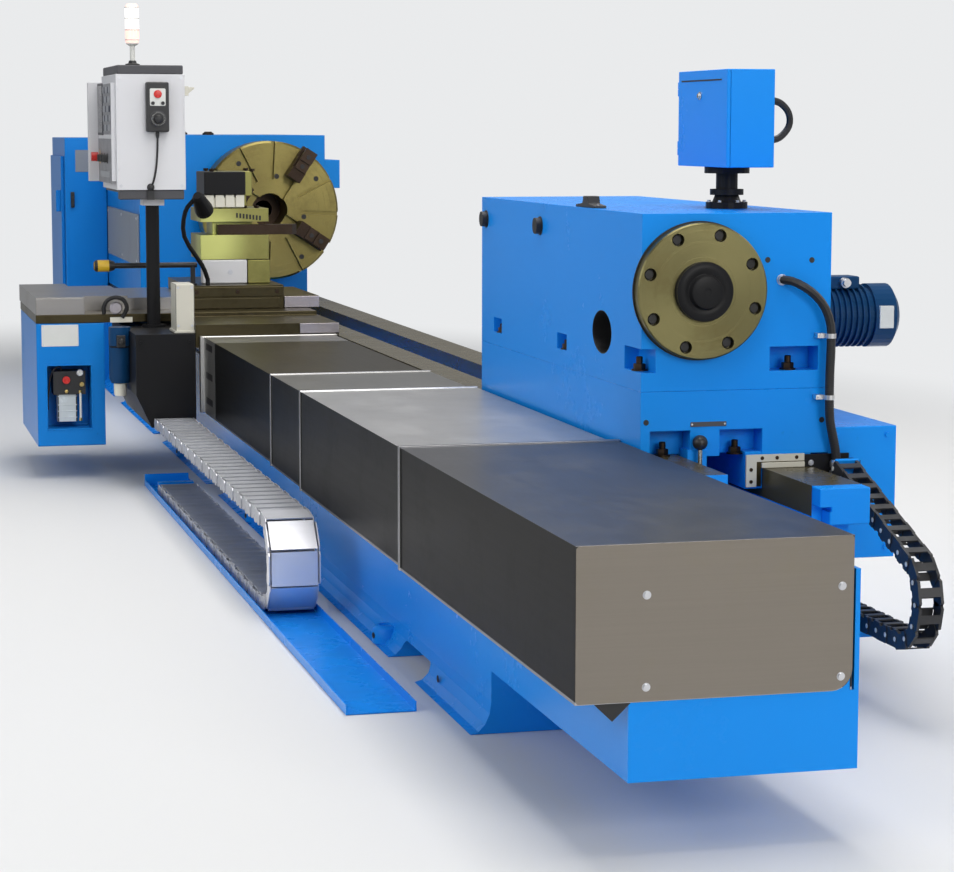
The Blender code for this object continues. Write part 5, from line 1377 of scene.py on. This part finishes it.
panelY = -0.6705  # face of the key panel
skinY = -0.6727  # face of the skins on it
unitX = 2.9456  # face of the hand unit
unitPlateX = 2.9474
dialCenter = (-0.462, 1.704)
pendantTrim = {
    "keyRows": 5, "keyColumns": 6, "keyHalf": (0.017, 0.01462),
    "keyStart": (2.580, 1.663), "keyPitch": (0.050, 0.044),
    "lowKeys": 8, "lowStart": (2.45, 1.445), "lowPitch": 0.048, "keyRound": 0.004, "keyHeight": 0.0035,
    "knobs": ((2.47, 1.52), (2.59, 1.52), (2.71, 1.52)), "unitKnobs": (-0.485, -0.439),
    "rims": (2.0695, 2.1150, 2.1680, 2.2180), "ticks": 24, "tickX": 2.9636,
}


def knobShapes():
    shapes = []
    for x, z in pendantTrim["knobs"]:
        profile = [(0, 0.024), (-0.003, 0.024), (-0.004, 0.019), (-0.020, 0.0175), (-0.022, 0.016)]
        shapes.append((addTurned, profile, (x, panelY - 0.0018, z), "Y", 24))
        shapes.append((addBlock, (x - 0.0035, panelY - 0.0262, z - 0.017),
                       (x + 0.0035, panelY - 0.018, z + 0.017)))
    return shapes


def unitKnobShapes():
    shapes = []
    for y in pendantTrim["unitKnobs"]:
        shapes.append((addTurned, [(0, 0.0085), (0.010, 0.0080), (0.011, 0.007)],
                       (unitPlateX, y, 1.7765), "X", 20))
        shapes.append((addBlock, (unitX + 0.012, y - 0.0015, 1.7695), (unitX + 0.0150, y + 0.0015, 1.7835)))
    return shapes


hookPlate = [(2.862, 1.812), (2.8985, 1.812), (2.8985, 1.856), (2.862, 1.856)]
hookHorn = [[(x0, y, z0), (x1, y, z0), (x1, y, z1), (x0, y, z1)] for x0, x1, y, z0, z1 in (
    (2.870, 2.8950, -0.3125, 1.822, 1.852), (2.878, 2.8870, -0.2830, 1.844, 1.851))]
pendantSolids = {
    "console": {
        "pendantTopCap": ("slateGrey", 0.006, (addBlock, (2.284, -0.643, 1.9104), (2.894, -0.336, 1.9520))),
        "pendantBottomCap": ("slateGrey", 0.006,
                             (addBlock, (2.8350, -0.640, 1.3310), (2.894, -0.337, 1.3757))),
        "pendantBottomSkirt": ("slateGrey", 0.006,
                               (addBlock, (2.305, -0.640, 1.3630), (2.8350, -0.337, 1.3757))),
        "pendantHook": ("cream", 0.0015, (addPrism, hookPlate, "Y", -0.3300, -0.3120), (addLoft, hookHorn)),
        "pendantSideRims": ("white", 0.0006, (addBlock, (2.9002, -0.6495, 1.3770), (2.9016, -0.6425, 1.9090)),
                            (addBlock, (2.9002, -0.3375, 1.3770), (2.9016, -0.3305, 1.9090))),
        "screenBezel": ("slateGrey", 0.001, (addPrism, roundedOutline(
            (2.310, 1.628), (2.532, 1.874), 0.01), "Y", panelY - 0.004, panelY)),
        "screenGlass": ("darkGlass", 0.0005, (addPrism, roundedOutline(
            (2.322, 1.640), (2.520, 1.862), 0.006), "Y", panelY - 0.0052, panelY - 0.001)),
        "panelSkins": ("panelSkin", 0.0008, (addBlock, (2.542, skinY, 1.632), (2.862, panelY, 1.868)),
                       (addBlock, (2.302, skinY, 1.405), (2.862, panelY, 1.612))),
        "panelKnobs": ("plastic", 0.0006, *knobShapes()),
        "stopButtonCollar": ("yellow", 0.0, (addTurned, [
            (0, 0.034), (-0.0025, 0.034), (-0.0025, 0.0235), (0, 0.0235)],
            (2.37, panelY, 1.525), "Y", 28, True)),
        "handUnitFace": ("palePlate", 0.0005, (addPrism, roundedOutline(
            (-0.4985, 1.7640), (-0.4255, 1.8440), 0.006), "X", unitX, unitPlateX)),
        "handUnitButton": ("red", 0.0, (addTurned, [
            (0, 0.0185), (0.004, 0.0185), (0.0065, 0.016), (0.0070, 0.012)],
            (unitPlateX, -0.462, 1.818), "X", 28)),
        "handUnitKnobs": ("plastic", 0.0, *unitKnobShapes()),
        "handDialRing": ("slateGrey", 0.0, (addTurned, [
            (-0.0002, 0.0385), (0.004, 0.0385), (0.004, 0.0345), (-0.0002, 0.0345)],
            (unitX, *dialCenter), "X", 36, True)),
        "handCableGlands": (
            "plastic", 0.001, (addTurned, [(0, 0.0075), (-0.004, 0.0095), (-0.016, 0.0090), (-0.030, 0.0060)],
                               (2.9203, -0.462, 1.6445), "Z", 16),
            (addTurned, [(0.0, 0.0175), (0.006, 0.0175), (0.008, 0.0125), (0.020, 0.0115), (0.022, 0.0085)],
             (2.9004, -0.4950, 1.3880), "X", 20),
            (addBlock, (2.882, -0.512, 1.3300), (2.905, -0.478, 1.3720))),
        "signalBase": ("plastic", 0.0, (addTurned, [
            (0, 0.034), (0.006, 0.034), (0.010, 0.020), (0.022, 0.0165)], (2.81, -0.56, 1.9518), "Z", 28)),
        "signalRims": ("palePlate", 0.0, *[
            (addTurned, [(-0.003, 0.0318), (-0.0026, 0.0334), (0.0026, 0.0334), (0.003, 0.0318)],
             (2.81, -0.56, z), "Z", 28, True) for z in pendantTrim["rims"]]),
    },
    "hand_dial": {
        "handDialGrip": ("plastic", 0.001, (addTurned, [
            (0, 0.020), (0.006, 0.021), (0.018, 0.018), (0.020, 0.012)],
            (pendantTrim["tickX"], *dialCenter), "X", 12)),
    },
}


def makePanelKeys():
    halfX, halfZ = pendantTrim["keyHalf"]
    shape = bmesh.new()
    outline = roundedOutline((-halfX, -halfZ), (halfX, halfZ), pendantTrim["keyRound"], 2)
    addPrism(shape, outline, "Z", 0, pendantTrim["keyHeight"])
    key = finishPiece("keyShape", shape, "keyGrey")
    (x, z), (px, pz) = pendantTrim["keyStart"], pendantTrim["keyPitch"]
    places = onFace("left", skinY, [(x + px * i, z + pz * k) for i in range(pendantTrim["keyColumns"])
                                    for k in range(pendantTrim["keyRows"])])
    x, z = pendantTrim["lowStart"]
    low = onFace("left", skinY, [(x + pendantTrim["lowPitch"] * i, z) for i in range(pendantTrim["lowKeys"])])
    templateRow("panelKeysPale", key, [p for i, p in enumerate(places) if i % 3], "keyGrey", "console")
    templateRow("panelKeysDark", key, places[::3], "keyDark", "console")
    templateRow("panelLowKeys", key, low, "keyGrey", "console")
    bpy.data.objects.remove(key, do_unlink=True)


def makeDialTicks():
    shape = bmesh.new()
    addBlock(shape, (-0.0006, 0.0265, -0.0003), (0.0006, 0.0320, 0.0006))
    tick = finishPiece("tickShape", shape, "palePlate")
    angles = [2 * math.pi * i / pendantTrim["ticks"] for i in range(pendantTrim["ticks"])]
    places = [((pendantTrim["tickX"], *dialCenter), (1, 0, 0), (0, math.cos(a), math.sin(a))) for a in angles]
    templateRow("handDialTicks", tick, places, "palePlate", "hand_dial")
    bpy.data.objects.remove(tick, do_unlink=True)


makeSolids(pendantSolids)
makeHeads({"console": {"pendantSideScrews": (
    "near", 2.9004, [(y, z) for y in (-0.632, -0.348) for z in (1.395, 1.892)], 0.0055, 0.0022, "zinc", 14)}})
makePanelKeys()
makeDialTicks()
print("pendant")


# carriage side: drive box plate, pump fittings, hoses, servo sleeve, white cable box

driveX = 2.7004  # near face of the drive box
pumpX = 2.6704  # near face of the pump
pumpTrim = {
    "plate": ((-0.995, 0.636), (-0.822, 0.738)), "plateX": 2.7016, "rivetInset": 0.008,
    "gauge": (-0.817, 0.507), "knob": (-0.809, 0.452), "nut": (-0.880, 0.4180),
    "tankZ": (0.2722, 0.4035), "ribZ": (0.2902, 0.3202, 0.3502, 0.3915), "tube": (-0.8145, 0.283, 0.414),
    "recess": ((-0.972, 0.243), (-0.765, 0.544)), "rim": 0.006, "rimX": 2.7024,
}
pumpRoute = [(2.655, -0.900, 0.514), (2.662, -0.905, 0.530), (2.672, -0.918, 0.536), (2.678, -0.938, 0.524),
             (2.676, -0.954, 0.492), (2.668, -0.962, 0.440), (2.655, -0.9665, 0.380), (2.640, -0.9665, 0.330)]
feedRoute = [(2.704, -0.7000, 0.7900), (2.716, -0.7020, 0.8200), (2.728, -0.6850, 0.8520),
             (2.734, -0.6480, 0.8660), (2.734, -0.6120, 0.8540), (2.728, -0.5950, 0.8220),
             (2.718, -0.6000, 0.7950), (2.712, -0.6150, 0.7700)]


def recessRimShapes():
    # four strips round the opening of the pump's recess
    (y0, z0), (y1, z1) = pumpTrim["recess"]
    w, x = pumpTrim["rim"], pumpTrim["rimX"]
    return [(addBlock, (driveX, y0 - w, z0 - w), (x, y1 + w, z0)),
            (addBlock, (driveX, y0 - w, z1), (x, y1 + w, z1 + w)),
            (addBlock, (driveX, y0 - w, z0), (x, y0, z1)), (addBlock, (driveX, y1, z0), (x, y1 + w, z1))]


def plateRivets():
    (y0, z0), (y1, z1) = pumpTrim["plate"]
    inset = pumpTrim["rivetInset"]
    return [(y, z) for y in (y0 + inset, y1 - inset) for z in (z0 + inset, z1 - inset)]


gaugeY, gaugeZ = pumpTrim["gauge"]
tubeY, tubeLow, tubeHigh = pumpTrim["tube"]
carriageSolids = {"carriage": {
    "driveBoxBarePlate": ("palePlate", 0.0004, (addPrism, roundedOutline(
        *pumpTrim["plate"], 0.003, 3), "X", driveX, pumpTrim["plateX"])),
    "pumpGaugeCase": ("zinc", 0.0, (addTurned, [
        (-0.004, 0.0165), (0.012, 0.0165), (0.014, 0.0150), (0.014, 0.0128), (0.0115, 0.0126)],
        (pumpX, gaugeY, gaugeZ), "X", 28)),
    "pumpGaugeFace": ("palePlate", 0.0, (addTurned, [(0.0112, 0.0125), (0.0122, 0.0125)],
                                         (pumpX, gaugeY, gaugeZ), "X", 28)),
    "pumpGaugeHand": ("rubber", 0.0, (addBlock, (pumpX + 0.0122, gaugeY - 0.0006, gaugeZ - 0.002),
                                      (pumpX + 0.0127, gaugeY + 0.0006, gaugeZ + 0.010))),
    "pumpBrassFittings": (
        "brass", 0.0, (addTurned, [
            (-0.006, 0.007), (0.008, 0.007), (0.009, 0.0115), (0.019, 0.0115), (0.021, 0.010)],
            (pumpX, *pumpTrim["knob"]), "X", 14),
        (addTurned, [(-0.004, 0.009), (0.006, 0.009), (0.008, 0.005), (0.014, 0.005)],
         (pumpX, *pumpTrim["nut"]), "X", 6)),
    "pumpTank": ("tank", 0.002, (addPrism, roundedOutline(
        (2.5695, -0.9235), (2.6612, -0.8290), 0.012), "Z", *pumpTrim["tankZ"])),
    "pumpTankRibs": ("tank", 0.001, *[(addPrism, roundedOutline(
        (2.5690, -0.9253), (2.6630, -0.8272), 0.013), "Z", z, z + 0.005) for z in pumpTrim["ribZ"]]),
    "pumpSightTube": ("palePlate", 0.0, (addTurned, [(tubeLow, 0.0055), (tubeHigh, 0.0055)],
                                         (2.668, tubeY, 0), "Z", 16)),
    "pumpSightNuts": ("brass", 0.0, *[(addTurned, [(0, 0.0085), (0.012, 0.0085)], (2.668, tubeY, z), "Z", 6)
                                      for z in (tubeLow - 0.006, tubeHigh - 0.004)]),
    "pumpPipe": ("rubber", 0.0, (addTube, smoothRoute(pumpRoute), 0.0042, 10)),
    "pumpRecessRim": ("deepBlue", 0.0008, *recessRimShapes()),
    "feedServoSleeve": ("navy", 0.0, (addTurned, [
        (0.4795, 0.0405), (0.4995, 0.0508), (0.6450, 0.0508), (0.6470, 0.0480), (0.6530, 0.0480),
        (0.6550, 0.0508), (0.7406, 0.0508)], (2.92, -0.6523, 0), "Z", 36)),
    "feedServoPlug": ("plastic", 0.002, (addBlock, (2.962, -0.672, 0.650), (2.985, -0.632, 0.705)), (
        addTurned, [(0, 0.014), (0.022, 0.014), (0.026, 0.009)], (2.978, -0.652, 0.678), "X", 18)),
    "feedServoEnd": ("creamPlastic", 0.0, (addTurned, [
        (0.418, 0.026), (0.430, 0.030), (0.476, 0.030), (0.4800, 0.026)], (2.92, -0.6523, 0), "Z", 24)),
    "cableBoxCover": ("cream", 0.004, (addBlock, (2.9994, -0.4209, 0.7256), (3.1706, -0.3346, 0.9507))),
    "cableBoxFoot": ("cream", 0.003, (addBlock, (2.990, -0.4280, 0.7256), (3.1780, -0.3320, 0.7380))),
    "crossFeedCap": ("lilacSteel", 0.0, (addTurned, [
        (0, 0.030), (0.020, 0.030), (0.024, 0.024), (0.032, 0.024)], (driveX, -0.645, 0.815), "X", 24)),
    "wingBracket": ("creamPlastic", 0.0015, (addBlock, (driveX, -0.6720, 0.7450), (2.7090, -0.5660, 0.7700))),
    "fixedCoverEnd": ("cover", 0.001, (addBlock, (driveX, -1.0160, 0.7900), (2.7026, -0.7950, 0.8620))),
}}
carriageHeads = {"carriage": {
    "driveBoxPlateRivets": ("near", pumpTrim["plateX"], plateRivets(), 0.0026, 0.0012, "zinc", 12),
    "cableBoxScrews": ("near", 3.1707, [(y, z) for y in (-0.409, -0.346) for z in (0.76, 0.935)],
                       0.0045, 0.002, "zinc", 12),
    "apronScrews": ("near", 3.2004, ((-0.585, 0.690), (-0.360, 0.690), (-0.360, 0.330), (-0.500, 0.330)),
                    0.0075, 0.005, "black"),
}}

makeSolids(carriageSolids)
makeHeads(carriageHeads)
hose("crossFeedHose", smoothRoute(feedRoute), 0.0095, 0.0012, 0.006, "rubber", "carriage")
print("carriage side")


# headstock and cabinet: bare plate, near panel, latch, panel screws, lifting bosses

cabinetX = -1.8198  # near face of the cabinet
headSolids = {"frame": {
    "cabinetBarePlate": ("grey", 0.0004, (addPrism, roundedOutline(
        (-0.403, 1.380), (-0.309, 1.521), 0.003, 3), "X", cabinetX, cabinetX + 0.0016)),
    # the near panel takes the darker blue as painted shade
    "cabinetNearPanel": ("deepBlue", 0.001,
                         (addBlock, (-1.8262, -0.4640, 0.0060), (-1.8207, -0.2050, 1.5940))),
    "cabinetLatch": ("plastic", 0.003,
                     (addBlock, (cabinetX, -0.437, 1.150), (cabinetX + 0.016, -0.413, 1.250)),
                     (addBlock, (cabinetX + 0.014, -0.433, 1.162), (cabinetX + 0.030, -0.417, 1.220))),
    "liftingBosses": ("darkSteel", 0.0, *[
        (addTurned, [(0, 0.034), (0.010, 0.034), (0.014, 0.026), (0.020, 0.020)], (x, 0.25, 1.6222), "Z", 24)
        for x in (-0.35, -1.50)]),
}}
headHeads = {"frame": {
    "headPanelScrews": ("left", -0.2124, [(x, z) for x in (-1.66, -0.90, -0.12) for z in (0.885, 1.135)],
                        0.007, 0.003, "zinc", 14),
}}

makeSolids(headSolids)
makeHeads(headHeads)
print("headstock and cabinet")


# floor

floorLook = {
    "color": (0.68, 0.68, 0.68), "roughness": 0.6,
    "center": (3.4, 0.2), "squeeze": (0.5, 1.0), "fade": (3.3, 5.6),
    "low": (-60, -60), "high": (70, 60), "level": -0.001,
}


def makeFloor():
    # pale paint that takes the shadow near the machine and fades into the backdrop further out
    made, tree, shader = startMaterial("floorPaint")
    feed(tree, shader, {"Base Color": (*floorLook["color"], 1), "Roughness": floorLook["roughness"]})
    shifted = vectorMath(tree, "SUBTRACT", coordsOf(tree), (*floorLook["center"], 0))[0]
    squeezed = vectorMath(tree, "MULTIPLY", shifted, (*floorLook["squeeze"], 0))[0]
    near, far = floorLook["fade"]
    fade = addNode(tree, "ShaderNodeMapRange", {
        "Value": vectorMath(tree, "LENGTH", squeezed)["Value"], "From Min": near, "From Max": far},
        interpolation_type="SMOOTHSTEP")
    ray = addNode(tree, "ShaderNodeLightPath")
    backdrop = addNode(tree, "ShaderNodeEmission", {"Color": (*world["backdrop"], 1)})
    seen = times(tree, fade.outputs[0], ray.outputs["Is Camera Ray"])
    mixed = addNode(tree, "ShaderNodeMixShader", [seen, shader.outputs[0], backdrop.outputs[0]])
    feed(tree, tree.nodes["Material Output"], {"Surface": mixed.outputs[0]})
    (x0, y0), (x1, y1), z = floorLook["low"], floorLook["high"], floorLook["level"]
    mesh = bpy.data.meshes.new("floor")
    mesh.from_pydata([(x0, y0, z), (x1, y0, z), (x1, y1, z), (x0, y1, z)], [], [(0, 1, 2, 3)])
    mesh.materials.append(made)
    floor = bpy.data.objects.new("floor", mesh)
    bpy.context.scene.collection.objects.link(floor)


makeFloor()
